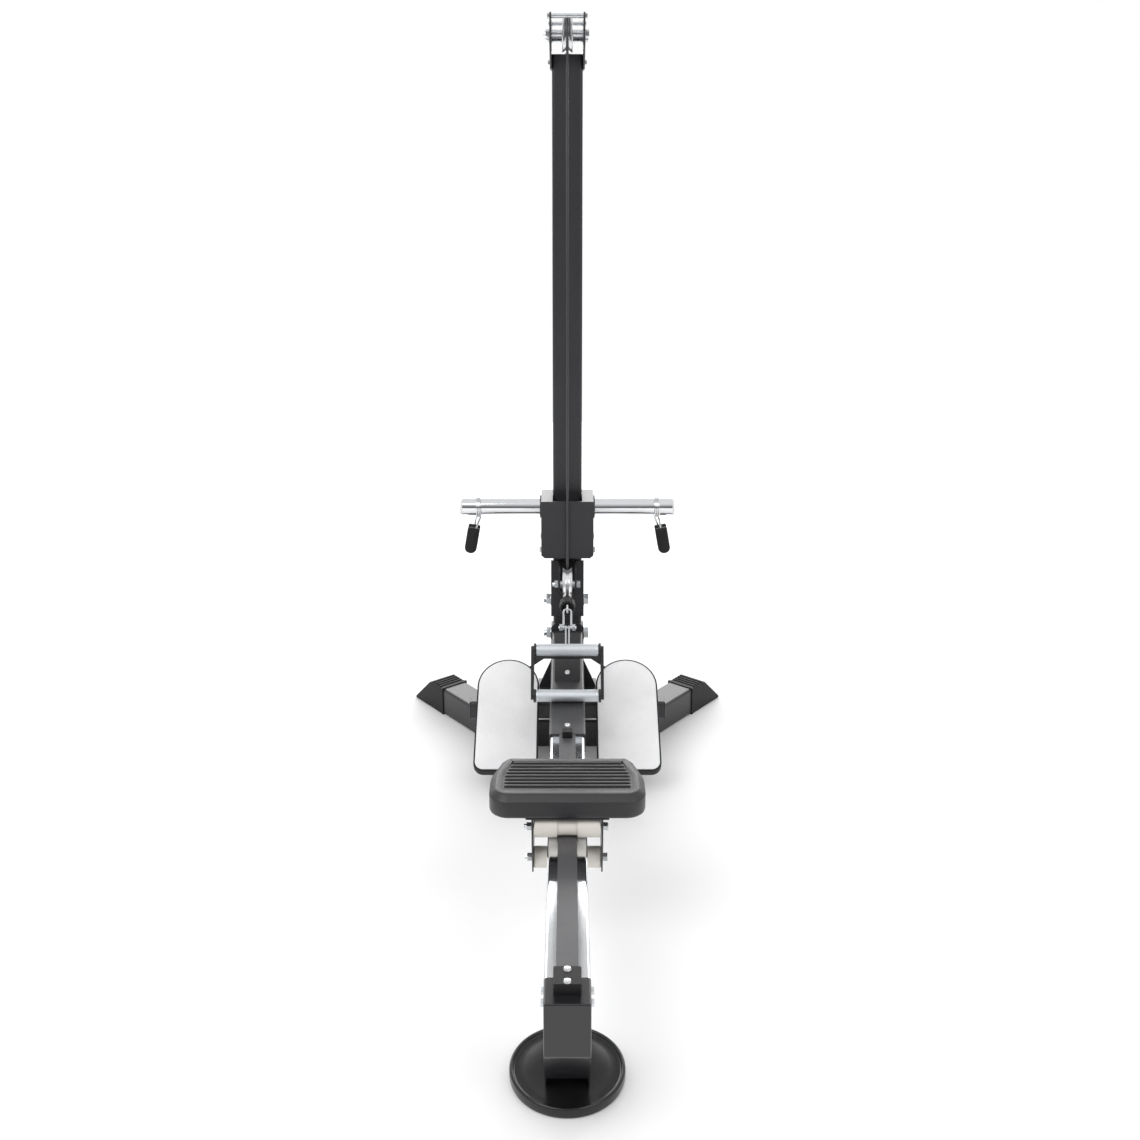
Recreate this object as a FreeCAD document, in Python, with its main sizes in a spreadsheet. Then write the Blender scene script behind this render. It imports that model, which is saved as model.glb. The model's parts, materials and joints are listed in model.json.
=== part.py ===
import FreeCAD, Part
import math
import os
import re
import Sketcher
from FreeCAD import Placement, Rotation, Vector

# Seated cable row: a square mast with a loading carriage, a rail with a rolling seat,
# two foot plates and one cable that lifts the carriage when the handle is pulled.
# Millimetres, +Z up, -Y towards the user. The origin is on the floor, at the middle of
# the machine's footprint, and places along Y are counted from the mast's front face.

dimensions = {
    # main tubes
    "tubeSide": 80, "tubeWall": 3, "tubeCorner": 8, "mastFace": 677, "mastFoot": 86, "mastTop": 1855,
    # floor frame
    "crossbarHalf": 190, "crossbarFace": 164, "spineEnd": 100, "postSide": 60, "postFace": 150,
    "legAngle": 39, "legJointX": 332, "legJointY": 61, "legRun": 255, "capWall": 3, "capTop": 65,
    "footPlateWide": 170, "footPlateThick": 6, "gussetTall": 101, "gussetWide": 42,
    # boom and rail
    "boomWide": 86, "boomTall": 50, "boomTop": 280, "boomStart": 7, "boomEnd": 629, "railWide": 80, "railTall": 40,
    "railTop": 276, "railNear": 1490, "railFar": 540, "stripWide": 38, "stripTall": 3,
    "headFace": 1557, "headLow": 175, "headTop": 276, "discRadius": 105, "discTall": 20, "discY": 1393,
    "stopLong": 45, "stopSet": 22, "stopWide": 47, "stopTall": 22, "screwRadius": 7, "screwTall": 3.5,
    "bumperWide": 24, "bumperLong": 20, "bumperTall": 16,
    "restWide": 67, "restThick": 4, "restFoot": 342, "restRise": 88, "restRun": 113,
    # foot plates
    "padWide": 165, "padLong": 332, "padThick": 27, "padTilt": 33, "padX": 158.5, "padLowY": 445, "padLowZ": 83,
    "beamWide": 40, "beamTall": 50, "beamHalf": 265, "beamFace": 190, "beamLow": 96, "webThick": 6,
    # cable and pulleys
    "cableRadius": 3.25, "pulleyRadius": 45, "pulleyWide": 26, "grooveRadius": 43, "axleRadius": 6,
    "pulleyBore": 6.05, "topPulleyZ": 1902, "frontPulleyY": -29, "rearPulleyY": 114, "lowPulleyY": -115,
    "lowPulleyZ": 461, "headPlateTop": 1951, "headPlateLow": 1818, "headPlateThick": 5, "headPlateHalf": 45,
    "spacerRadius": 11, "nutRadius": 11, "nutTall": 10, "cheekGap": 20, "bigBolt": 10, "bigNut": 16.5,
    "bigNutTall": 14, "bigWasher": 18.5, "upperBoltZ": 358, "lowerBoltZ": 255, "mastMiddle": 40,
    # carriage
    "plateWide": 144, "plateThick": 5, "plateLow": 517, "plateTop": 680, "plateFace": 62, "boxDeep": 204,
    "sideLow": 514, "rearTop": 642, "sleeveRadius": 25, "sleeveZ": 636, "sleeveEnd": 295, "sleeveWall": 3,
    "flangeRadius": 32.5, "flangeThick": 5, "plugTall": 6, "rollerRadius": 19.7, "rollerWide": 56,
    "sideRollerRadius": 15.7, "sideRollerWide": 60, "rollerBore": 5.05, "pinRadius": 5, "lowRollerZ": 528,
    "sideRollerZ": 622, "coverThick": 4, "coverReach": 60,
    # collars
    "collarX": 250, "wireRadius": 2.6, "collarGap": 0.35, "clipWide": 34, "clipLong": 76, "clipThick": 12,
    "clipDrop": 67,
    # handle
    "stopperRadius": 21, "stopperLong": 60, "gripRadius": 15, "gripLong": 156, "gripBore": 6.05,
    "handleHalf": 91, "sidePlateThick": 7, "endRingLong": 5.5, "linkThick": 4,
    # seat
    "seatWide": 316, "seatDeep": 172, "seatThick": 50, "seatLow": 326.5, "seatFace": 1082,
    "cheekX": 69, "cheekThick": 3, "cheekLow": 190, "seatFlange": 84, "wheelRadius": 21.5, "wheelWide": 134,
    "lowWheelWide": 36, "lowWheelZ": 213.5, "lowWheelY": 1035, "wheelNear": 1059, "wheelFar": 945,
}

doc = FreeCAD.newDocument("SeatedCableRow")
sheet = doc.addObject("Spreadsheet::Sheet", "Dims")
for row, (word, number) in enumerate(dimensions.items(), start=1):
    sheet.set(f"A{row}", word)
    sheet.set(f"B{row}", str(number))
    sheet.setAlias(f"B{row}", word)
doc.recompute()

parts = {}  # the finished sub-parts, by node name


def dim(word):
    """A driving dimension, read from the sheet."""
    return float(sheet.get(word))


def rule(text):
    """A size rule as an expression: every alias gets the sheet's name in front."""
    return re.sub(r"[a-z][A-Za-z]+", r"Dims.\g<0>", str(text))


def bind(thing, **rules):
    for name, text in rules.items():
        thing.setExpression(name, rule(text))
    thing.recompute()
    return thing


def fromMast(x, y, z):
    """A point given from the mast's front face, in the part's own frame."""
    return Vector(x, y + dim("mastFace"), z)


def aim(direction):
    return Rotation(Vector(0, 0, 1), Vector(*direction))


def level(direction):
    """A turn onto the direction that keeps a square section's sides upright."""
    if abs(direction[2]) > 0.999:
        return Rotation()
    return Rotation(Vector(), Vector(0, 0, 1), Vector(*direction), "ZYX")


def node(name, thing):
    """Name a finished sub-part after its node."""
    thing.Label = name
    parts[name] = thing
    return thing


def box(name, length, width, height, centre):
    """A block by its middle point."""
    made = bind(doc.addObject("Part::Box", name), Length=length, Width=width, Height=height)
    half = Vector(made.Length.Value, made.Width.Value, made.Height.Value) * 0.5
    made.Placement = Placement(fromMast(*centre) - half, Rotation())
    return made


def rod(name, radius, length, start, direction):
    """A cylinder from a start point along a direction."""
    made = bind(doc.addObject("Part::Cylinder", name), Radius=radius, Height=length)
    made.Placement = Placement(fromMast(*start), aim(direction))
    return made


def hexagon(name, radius, height, start, direction):
    """A hexagonal prism, as a nut or a bolt's head."""
    made = bind(doc.addObject("Part::Prism", name), Circumradius=radius, Height=height)
    made.Placement = Placement(fromMast(*start), aim(direction))
    return made


def cut(name, base, *tools):
    made = doc.addObject("Part::Cut", name)
    made.Base = base
    made.Tool = tools[0] if len(tools) == 1 else fuse(name + "Tools", *tools)
    return made


def fuse(name, *shapes):
    made = doc.addObject("Part::MultiFuse", name)
    made.Shapes = list(shapes)
    return made


def group(name, *shapes):
    """Several separate solids kept as one node."""
    made = doc.addObject("Part::Compound", name)
    made.Links = list(shapes)
    return made


def soften(name, base, radius, chosen):
    """Round the edges that the test chooses."""
    doc.recompute()
    picks = [number for number, edge in enumerate(base.Shape.Edges, start=1) if chosen(edge)]
    made = doc.addObject("Part::Fillet", name)
    made.Base = base
    made.Edges = [(number, radius, radius) for number in picks]
    return made


def runs(edge, axis):
    """True for a straight edge along the axis."""
    ends = [vertex.Point for vertex in edge.Vertexes]
    return len(ends) == 2 and abs((ends[1] - ends[0]).normalize().dot(Vector(*axis))) > 0.999


def outline(body, plane, corners):
    """A closed outline whose corner places are bound to the sheet."""
    sketch = body.newObject("Sketcher::SketchObject", body.Name + "Outline")
    base = [feature for feature in body.Origin.OriginFeatures if feature.Role == plane]
    sketch.AttachmentSupport = [(base[0], "")]
    sketch.MapMode = "FlatFace"
    count = len(corners)
    turns = [2 * math.pi * index / count for index in range(count)]
    start = [Vector(100 * math.cos(turn), 100 * math.sin(turn), 0) for turn in turns]
    for index in range(count):
        sketch.addGeometry(Part.LineSegment(start[index], start[(index + 1) % count]), False)
    for index in range(count):
        sketch.addConstraint(Sketcher.Constraint("Coincident", index, 2, (index + 1) % count, 1))
    for index, corner in enumerate(corners):
        for kind, text in zip(("DistanceX", "DistanceY"), corner):
            which = sketch.addConstraint(Sketcher.Constraint(kind, -1, 1, index, 1, 1.0))
            sketch.setExpression(f"Constraints[{which}]", rule(text))
    return sketch


def pad(name, plane, corners, thickness, at=(0, 0, 0), turn=None):
    """A plate: an outline padded evenly to both sides of its plane."""
    body = doc.addObject("PartDesign::Body", name)
    feature = body.newObject("PartDesign::Pad", name + "Pad")
    feature.Profile = outline(body, plane, corners)
    feature.Midplane = True
    feature.setExpression("Length", rule(thickness))
    body.Placement = Placement(fromMast(*at), turn or Rotation())
    body.recompute(True)
    return body


def turned(name, corners, at, direction):
    """A round piece: half a section, (radius, height), turned about the direction."""
    body = doc.addObject("PartDesign::Body", name)
    sketch = outline(body, "XZ_Plane", corners)
    feature = body.newObject("PartDesign::Revolution", name + "Turn")
    feature.Profile = sketch
    feature.ReferenceAxis = (sketch, ["V_Axis"])
    feature.Angle = 360
    body.Placement = Placement(fromMast(*at), aim(direction))
    body.recompute(True)
    return body


def squareTube(name, side, height, wall, at, direction=(0, 0, 1)):
    """A square tube with rounded corners, from its start point along the direction."""
    corner = dim("tubeCorner")
    shapes = []
    for label, inset, radius in (("Outer", "0", corner), ("Inner", wall, corner - dim(wall))):
        block = bind(doc.addObject("Part::Box", name + label), Height=height,
                     Length=f"{side} - 2 * {inset}", Width=f"{side} - 2 * {inset}")
        block.Placement = Placement(Vector(-block.Length.Value / 2, -block.Width.Value / 2, 0), Rotation())
        shapes.append(soften(name + label + "Round", block, radius, lambda edge: runs(edge, (0, 0, 1))))
    tube = cut(name, *shapes)
    tube.Placement = Placement(fromMast(*at), level(direction))
    return tube


def mirrorPair(name, make):
    """The same sub-part at both sides: side is +1 on the right and -1 on the left."""
    for word, side in (("left", -1), ("right", 1)):
        node(f"{name}_{word}", make(f"{name}_{word}", side))


# floor frame
def floorFrame():
    side = dim("tubeSide")
    middleY = -dim("crossbarFace") + side / 2
    bar = squareTube("crossbarTube", "tubeSide", "2 * crossbarHalf", "tubeWall",
                     (-dim("crossbarHalf"), middleY, side / 2), (1, 0, 0))
    spineStart = middleY + side / 2
    spine = squareTube("spineTube", "tubeSide", "crossbarFace + spineEnd - tubeSide", "tubeWall",
                       (0, spineStart, side / 2), (0, 1, 0))
    post = squareTube("boomPost", "postSide", "boomTop - boomTall - tubeSide", "tubeWall",
                      (0, -dim("postFace") + dim("postSide") / 2, side))
    node("base_frame", fuse("base_frame", bar, spine, post))

    plate = box("footPlate", "footPlateWide", "spineEnd + crossbarFace - tubeSide - 2", "footPlateThick",
                (0, (spineStart + 1 + dim("spineEnd") - 1) / 2, side + dim("footPlateThick") / 2))
    ears = []
    for hand in (-1, 1):
        corners = [("0", "0"), (f"{hand} * gussetWide", "0"), (f"{hand} * gussetWide", "6"),
                   ("0", "gussetTall")]
        ears.append(pad(f"gusset{hand + 1}", "XZ_Plane", corners, "webThick",
                        (hand * side / 2, dim("mastMiddle"), dim("mastFoot"))))
    node("mast_foot", fuse("mast_foot", plate, *ears))

    angle = math.radians(dim("legAngle"))
    along = Vector(math.sin(angle), math.cos(angle), 0)

    def leg(name, hand):
        joint = Vector(dim("legJointX"), dim("legJointY"), 0)
        start = joint - along * dim("legRun") + Vector(0, 0, side / 2)
        way = (hand * along.x, along.y, 0)
        tube = squareTube(name + "Tube", "tubeSide", "legRun + capTop - 5", "tubeWall",
                          (hand * start.x, start.y, start.z), way)
        trim = box(name + "Trim", "2 * crossbarHalf", "tubeSide", "tubeSide", (0, middleY, side / 2))
        return cut(name, tube, trim)

    def cap(name, hand):
        # side view of the cap: its end slopes out to the floor at 45 degrees
        corners = [("0", "0"), ("capTop + tubeSide + capWall", "0"), ("capTop + tubeSide + capWall", "3"),
                   ("capTop", "tubeSide + capWall"), ("0", "tubeSide + capWall")]
        turn = Rotation(Vector(0, 0, 1), 90 - hand * dim("legAngle"))
        shell = pad(name + "Shell", "XZ_Plane", corners, "tubeSide + 2 * capWall",
                    (hand * dim("legJointX"), dim("legJointY"), 0), turn)
        room = pad(name + "Room", "XZ_Plane", [("-1", "-1"), ("capTop - 5", "-1"), ("capTop - 5", "tubeSide"),
                   ("-1", "tubeSide")], "tubeSide", (hand * dim("legJointX"), dim("legJointY"), 0), turn)
        return cut(name, shell, room)

    mirrorPair("leg", leg)
    mirrorPair("leg_cap", cap)


# boom, rail and front post
def boomAndRail():
    middle = -(dim("boomEnd") + dim("boomStart")) / 2
    boomZ = dim("boomTop") - dim("boomTall") / 2
    outer = box("boomOuter", "boomWide", "boomEnd - boomStart", "boomTall", (0, middle, boomZ))
    shell = soften("boomShell", outer, 5, lambda edge: runs(edge, (0, 1, 0)))
    room = box("boomRoom", "railWide + 0.2", "boomEnd + 50", "boomTall - 8", (0, middle, boomZ))
    node("boom", cut("boom", shell, room))

    low = dim("railTop") - dim("railTall")
    railLong = "railNear - railFar"
    railMiddle = -(dim("railNear") + dim("railFar")) / 2
    block = box("railBlock", "railWide", railLong, "railTall", (0, railMiddle, low + dim("railTall") / 2))
    skin = soften("railSkin", block, 6, lambda edge: runs(edge, (0, 1, 0)))
    hollow = box("railHollow", "railWide - 2 * tubeWall", "railNear", "railTall - 2 * tubeWall",
                 (0, railMiddle, low + dim("railTall") / 2))
    node("rail", cut("rail", skin, hollow))
    open = dim("railNear") - dim("boomEnd") - 1
    node("rail_strip", box("rail_strip", "stripWide", "railNear - boomEnd - 1", "stripTall",
                           (0, -dim("boomEnd") - 1 - open / 2, dim("railTop") + dim("stripTall") / 2)))

    # side view of the front post: an upright head, then a tube that leans back to the disc
    shoulder = "-railNear + 54"
    corners = [("-headFace", "headLow"), ("-headFace", "headTop"), ("-railNear", "headTop"),
               ("-railNear", "railTop - railTall"), (shoulder, "railTop - railTall"), (shoulder, "headLow + 32"),
               ("-railNear + 32", "headLow + 5"), ("-discY + 48", "discTall - 2"), ("-discY - 48", "discTall - 2")]
    skin = pad("postSkin", "YZ_Plane", corners, "railWide - 1")
    corners = [("-headFace + 3", "headLow + 2"), ("-headFace + 3", "headTop - 3"), ("-railNear - 3", "headTop - 3"),
               ("-railNear - 3", "railTop - railTall - 3"), ("-railNear + 51", "railTop - railTall - 3"),
               ("-railNear + 51", "headLow + 33"), ("-railNear + 29", "headLow + 7"), ("-discY + 44", "10"),
               ("-discY - 44", "10")]
    hollow = pad("postHollow", "YZ_Plane", corners, "railWide - 7")
    node("front_post", cut("front_post", skin, hollow))
    corners = [("0", "0"), ("discRadius - 6", "0"), ("discRadius", "6"), ("discRadius", "discTall - 2"),
               ("discRadius - 2", "discTall"), ("discRadius - 6", "discTall"), ("discRadius - 9", "discTall - 5"),
               ("discRadius - 48", "discTall - 2"), ("0", "discTall - 2")]
    node("foot_disc", turned("foot_disc", corners, (0, -dim("discY"), 0), (0, 0, 1)))

    stopY = -dim("headFace") + dim("stopSet") + dim("stopLong") / 2
    stop = box("stopBlock", "stopWide", "stopLong", "stopTall", (0, stopY, dim("headTop") + dim("stopTall") / 2))
    node("front_stop", soften("front_stop", stop, 4, lambda edge: runs(edge, (0, 0, 1))))
    bumper = box("bumperBlock", "bumperWide", "bumperLong", "bumperTall",
                 (0, -dim("boomEnd") - dim("bumperLong") / 2 - 1,
                  dim("railTop") + dim("stripTall") + dim("bumperTall") / 2))
    node("rear_bumper", soften("rear_bumper", bumper, 3, lambda edge: runs(edge, (0, 0, 1))))

    # the ramp bracket that the handle's web is parked over
    run, rise = dim("restRun"), dim("restRise")
    corners = [("-restFoot", "boomTop"), ("-restFoot + restRun", "boomTop + restRise"),
               ("-restFoot + restRun", "boomTop + restRise - restThick"),
               ("-restFoot + restThick + 2", "boomTop")]
    ramp = pad("restRamp", "YZ_Plane", corners, "restWide")
    wings = []
    for hand in (-1, 1):
        corners = [("-restFoot + 3", "boomTop"), ("-restFoot + restRun", "boomTop + restRise - 2"),
                   ("-restFoot + restRun", "boomTop")]
        wings.append(pad(f"restWing{hand + 1}", "YZ_Plane", corners, "restThick",
                         (hand * (dim("restWide") - dim("restThick")) / 2, 0, 0)))
    node("handle_rest", fuse("handle_rest", ramp, *wings))

    # button screws: two in the front stop, two at the boom's end and two in the ramp
    screws = []
    tilt = Vector(0, -rise, run).normalize()
    for index in (-1, 1):
        half = 15.5 * index
        places = [((0, stopY + half, dim("headTop") + dim("stopTall")), (0, 0, 1)),
                  ((0, -dim("boomEnd") + 29 + half, dim("boomTop")), (0, 0, 1)),
                  ((0, -dim("restFoot") + run * (0.36 + 0.0115 * half), dim("boomTop") + rise * (0.36 + 0.0115 * half)),
                   tuple(tilt))]
        for number, (place, way) in enumerate(places):
            corners = [("0", "0"), ("screwRadius", "0"), ("screwRadius * 0.8", "screwTall * 0.7"),
                       ("screwRadius * 0.45", "screwTall"), ("0", "screwTall")]
            screws.append(turned(f"screw{number}{index + 1}", corners, place, way))
    node("button_screws", group("button_screws", *screws))

    bolts = []
    for hand in (-1, 1):
        for number, (y, z) in enumerate(((-1529, 258), (-1499, 258))):
            bolts.append(hexagon(f"postBolt{hand + 1}{number}", "screwRadius", "screwTall * 1.5",
                                 (hand * (dim("railWide") - 1) / 2, y, z), (hand, 0, 0)))
    node("post_bolts", group("post_bolts", *bolts))


# foot plates
def footPlates():
    tilt = dim("padTilt")
    beamZ = dim("beamLow") + dim("beamTall") / 2
    beamY = -dim("beamFace") + dim("beamWide") / 2
    beam = box("beamBlock", "2 * beamHalf", "beamWide", "beamTall", (0, beamY, beamZ))
    skin = soften("beamSkin", beam, 10, lambda edge: runs(edge, (1, 0, 0)))
    hollow = box("beamHollow", "2 * beamHalf + 2", "beamWide - 2 * tubeWall", "beamTall - 2 * tubeWall",
                 (0, beamY, beamZ))
    node("footplate_beam", cut("footplate_beam", skin, hollow))

    def plate(name, hand):
        # seen square on: straight sides, a half-round top and rounded lower corners
        straight = dim("padLong") - dim("padWide") / 2
        slab = bind(doc.addObject("Part::Box", name + "Slab"), Length="padWide", Height="padThick",
                    Width="padLong - padWide / 2")
        slab.Placement = Placement(Vector(-dim("padWide") / 2, 0, 0), Rotation())
        round_ = bind(doc.addObject("Part::Cylinder", name + "Round"), Radius="padWide / 2", Height="padThick")
        round_.Placement = Placement(Vector(0, straight, 0), Rotation())
        lower = soften(name + "Lower", slab, 26, lambda edge: runs(edge, (0, 0, 1))
                       and edge.Vertexes[0].Point.y < 1)
        made = fuse(name, lower, round_)
        turn = Rotation(Vector(1, 0, 0), tilt)
        drop = turn.multVec(Vector(0, 0, -dim("padThick")))
        made.Placement = Placement(fromMast(hand * dim("padX"), -dim("padLowY"), dim("padLowZ")) + drop, turn)
        return made

    mirrorPair("footplate", plate)

    # triangular webs from the beam to the underside of the foot plates
    slope = math.tan(math.radians(tilt))
    gap = dim("padThick") / math.cos(math.radians(tilt)) + 0.3
    webs = []
    for index, x in enumerate((-200, -100, 100, 200)):
        web = doc.addObject("Part::Feature", f"footWeb{index}")
        near, far = -dim("padLowY") + 70, -dim("beamFace") + dim("beamWide") - 4
        under = [dim("padLowZ") + (y + dim("padLowY")) * slope - gap for y in (near, far)]
        top = dim("beamLow") + dim("beamTall") + 0.01
        points = [(near, under[0] - 14), (-dim("beamFace") - 0.01, dim("beamLow") + 12),
                  (-dim("beamFace") - 0.01, top), (far, top), (far, under[1]), (near, under[0])]
        wire = Part.makePolygon([Vector(0, y, z) for y, z in points + points[:1]])
        web.Shape = Part.Face(wire).extrude(Vector(dim("webThick"), 0, 0))
        web.Placement = Placement(fromMast(x - dim("webThick") / 2, 0, 0), Rotation())
        webs.append(web)
    node("footplate_brackets", group("footplate_brackets", *webs))


# pulleys, their frames and the cable
def throughBolt(name, radius, nut, half, y, z, nutTall="nutTall", washer=None):
    """A bolt across the machine with a head at the right, a nut at the left and some thread past it."""
    tall = dim(nutTall)
    out = 0.55 * tall
    pieces = [rod(name + "Shank", radius, 2 * (half + tall) + out, (-half - tall - out, y, z), (1, 0, 0)),
              hexagon(name + "Nut", nut, nutTall, (-half, y, z), (-1, 0, 0)),
              hexagon(name + "Head", nut, nutTall, (half, y, z), (1, 0, 0))]
    if washer:
        pieces += [rod(f"{name}Washer{hand + 1}", washer, 2, (hand * half, y, z), (hand, 0, 0)) for hand in (-1, 1)]
    return fuse(name, *pieces)


def pulleyPlaces():
    return {"pulley_top_front": (dim("frontPulleyY"), dim("topPulleyZ")),
            "pulley_top_rear": (dim("rearPulleyY"), dim("topPulleyZ")),
            "pulley_low": (dim("lowPulleyY"), dim("lowPulleyZ"))}


def pulleys():
    for name, (y, z) in pulleyPlaces().items():
        rim = [("pulleyRadius - 9", "pulleyWide / 2"), ("pulleyRadius", "pulleyWide / 2"),
               ("pulleyRadius", "pulleyWide / 2 - 2")]
        groove = ("grooveRadius - cableRadius - 0.35", "cableRadius + 0.45")
        hub = [("pulleyBore", "pulleyWide / 2"), ("pulleyBore + 9", "pulleyWide / 2"),
               ("pulleyBore + 11", "pulleyWide / 2 - 4"), ("pulleyRadius - 11", "pulleyWide / 2 - 4")]
        upper = hub + rim + [groove]
        lower = [(radius, f"-({height})") for radius, height in reversed(upper)]
        node(name, turned(name, upper + lower, (0, y, z), (1, 0, 0)))


def pulleyFrames():
    places = pulleyPlaces()
    inner = dim("headPlateHalf") - dim("headPlateThick")
    holes = [rod(f"headHole{index}", "axleRadius + 0.1", 2 * inner + 40, (-inner - 20, y, z), (1, 0, 0))
             for index, (y, z) in enumerate((places["pulley_top_front"], places["pulley_top_rear"]))]
    corners = [("-84", "headPlateTop - 10"), ("-74", "headPlateTop"), ("162", "headPlateTop"),
               ("172", "headPlateTop - 10"), ("172", "1872"), ("104", "headPlateLow"), ("2", "headPlateLow"),
               ("-84", "1868")]
    plates = []
    for hand in (-1, 1):
        flat = pad(f"headFlat{hand + 1}", "YZ_Plane", corners, "headPlateThick",
                   (hand * (inner + dim("headPlateThick") / 2), 0, 0))
        plates.append(cut(f"headPlate{hand + 1}", flat, *holes))
    node("head_plates", group("head_plates", *plates))

    # zinc tubes beside each pulley, and the two that keep the cable in its grooves
    spacers = []
    for name, (y, z) in places.items():
        outer = dim("cheekGap") if name == "pulley_low" else inner
        start = dim("pulleyWide") / 2 + 0.4
        for hand in (-1, 1):
            tube = rod(f"{name}Spacer{hand + 1}", "spacerRadius", outer - start, (hand * start, y, z), (hand, 0, 0))
            bore = rod(f"{name}Bore{hand + 1}", "axleRadius", outer, (hand * start * 0.9, y, z), (hand, 0, 0))
            spacers.append(cut(f"{name}Tube{hand + 1}", tube, bore))
    for index, y in enumerate((-70, 156)):
        spacers.append(rod(f"keeper{index}", "axleRadius", 2 * inner, (-inner, y, 1942), (1, 0, 0)))
    node("pulley_spacers", group("pulley_spacers", *spacers))

    bolts = [throughBolt(f"headBolt{index}", "axleRadius", "nutRadius", inner + dim("headPlateThick"), y, z)
             for index, (y, z) in enumerate((places["pulley_top_front"], places["pulley_top_rear"]))]
    y, z = places["pulley_low"]
    bolts.append(throughBolt("lowBolt", "axleRadius", "nutRadius", dim("cheekGap") + 5, y, z))
    for index, (y, z) in enumerate(((-70, 1942), (156, 1942), (40, 1836))):
        for hand in (-1, 1):
            bolts.append(hexagon(f"headScrew{index}{hand + 1}", "screwRadius", "screwTall * 1.5",
                                 (hand * (inner + dim("headPlateThick")), y, z), (hand, 0, 0)))
    node("pulley_bolts", group("pulley_bolts", *bolts))

    # bracket of the low pulley: a plate on the mast's face, wings back along its sides, two cheeks
    half = dim("tubeSide") / 2
    low, high = dim("upperBoltZ") - 34, dim("upperBoltZ") + 34
    hole = rod("upperHole", "bigBolt + 0.2", 130, (-65, dim("mastMiddle"), dim("upperBoltZ")), (1, 0, 0))
    axleHole = rod("lowHole", "axleRadius + 0.1", 70, (-35, dim("lowPulleyY"), dim("lowPulleyZ")), (1, 0, 0))
    back = box("bracketBack", 2 * half + 12, 6, 490 - low, (0, -3, (490 + low) / 2))
    pieces = [back]
    for hand in (-1, 1):
        wing = pad(f"bracketWing{hand + 1}", "YZ_Plane", [("-6", str(low)), ("62", str(low + 8)),
                   ("62", str(high - 8)), ("-6", str(high + 20))], "6", (hand * (half + 3.05), 0, 0))
        cheek = pad(f"bracketCheek{hand + 1}", "YZ_Plane", [("-3", "392"), ("-3", "490"), ("-96", "490"),
                    ("-136", "478"), ("-136", "446"), ("-112", "430")], "5", (hand * (dim("cheekGap") + 2.5), 0, 0))
        pieces += [wing, cheek]
    node("pulley_bracket", cut("pulley_bracket", fuse("bracketBlank", *pieces), hole, axleHole))

    hole = rod("lowerHole", "bigBolt + 0.2", 130, (-65, dim("mastMiddle"), dim("lowerBoltZ")), (1, 0, 0))
    face = pad("yokeFace", "XZ_Plane", [("-46", "226"), ("46", "226"), ("46", "290"), ("36", "302"),
               ("-36", "302"), ("-46", "290")], "6", (0, -3.05, 0))
    wings = [pad(f"yokeWing{hand + 1}", "YZ_Plane", [("-6", "226"), ("62", "228"), ("62", "282"), ("-6", "290")],
                 "6", (hand * (half + 3.05), 0, 0)) for hand in (-1, 1)]
    node("boom_yoke", cut("boom_yoke", fuse("yokeBlank", face, *wings), hole))
    bolts = [throughBolt(f"mastBolt{index}", "bigBolt", "bigNut", half + 6.1, dim("mastMiddle"), dim(word),
                         "bigNutTall", "bigWasher") for index, word in enumerate(("upperBoltZ", "lowerBoltZ"))]
    node("mast_bolts", group("mast_bolts", *bolts))


def mast():
    tube = squareTube("mastTube", "tubeSide", "mastTop - mastFoot", "tubeWall",
                      (0, dim("mastMiddle"), dim("mastFoot")))
    holes = [rod(f"mastHole{index}", "bigBolt + 0.2", 100, (-50, dim("mastMiddle"), dim(word)), (1, 0, 0))
             for index, word in enumerate(("upperBoltZ", "lowerBoltZ"))]
    node("mast", cut("mast", tube, *holes))


def cableRun(name, edges, start, direction):
    """A cable along a path in the middle plane, checked against section times length."""
    path = Part.Wire(edges)
    radius = dim("cableRadius")
    section = Part.Wire(Part.makeCircle(radius, start, direction))
    run = doc.addObject("Part::Feature", name)
    run.Shape = path.makePipeShell([section], True, False)
    run.Placement = Placement(fromMast(0, 0, 0), Rotation())
    expected = math.pi * radius ** 2 * path.Length
    if abs(run.Shape.Volume / expected - 1) > 0.01:
        raise ValueError(f"{name} has the wrong volume")
    return node(name, run)


def arc(centre, radius, start, end):
    """An arc in the middle plane; angles in degrees from +Y towards +Z."""
    points = []
    for angle in (start, (start + end) / 2, end):
        turn = math.radians(angle)
        points.append(Vector(0, centre[0] + radius * math.cos(turn), centre[1] + radius * math.sin(turn)))
    return Part.Arc(*points).toShape(), points[0], points[2]


def cables():
    places = pulleyPlaces()
    radius = dim("grooveRadius")
    exitAngle = 8
    rear, rearStart, rearEnd = arc(places["pulley_top_rear"], radius, 0, 90)
    front, frontStart, frontEnd = arc(places["pulley_top_front"], radius, 90, 180)
    low, lowStart, lowEnd = arc(places["pulley_low"], radius, 0, -90 - exitAngle)
    edges = [rear, Part.makeLine(rearEnd, frontStart), front, Part.makeLine(frontEnd, lowStart), low]
    cableRun("cable", edges, rearStart, Vector(0, 0, 1))
    anchor = Vector(0, rearStart.y, 600)
    cableRun("cable_rear_run", [Part.makeLine(rearStart, anchor)], rearStart, Vector(0, 0, -1))
    slope = math.radians(exitAngle)
    way = Vector(0, -math.cos(slope), math.sin(slope))
    far = lowEnd + way * 38
    cableRun("cable_pull_run", [Part.makeLine(lowEnd, far)], lowEnd, way)
    return anchor, far, way


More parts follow.
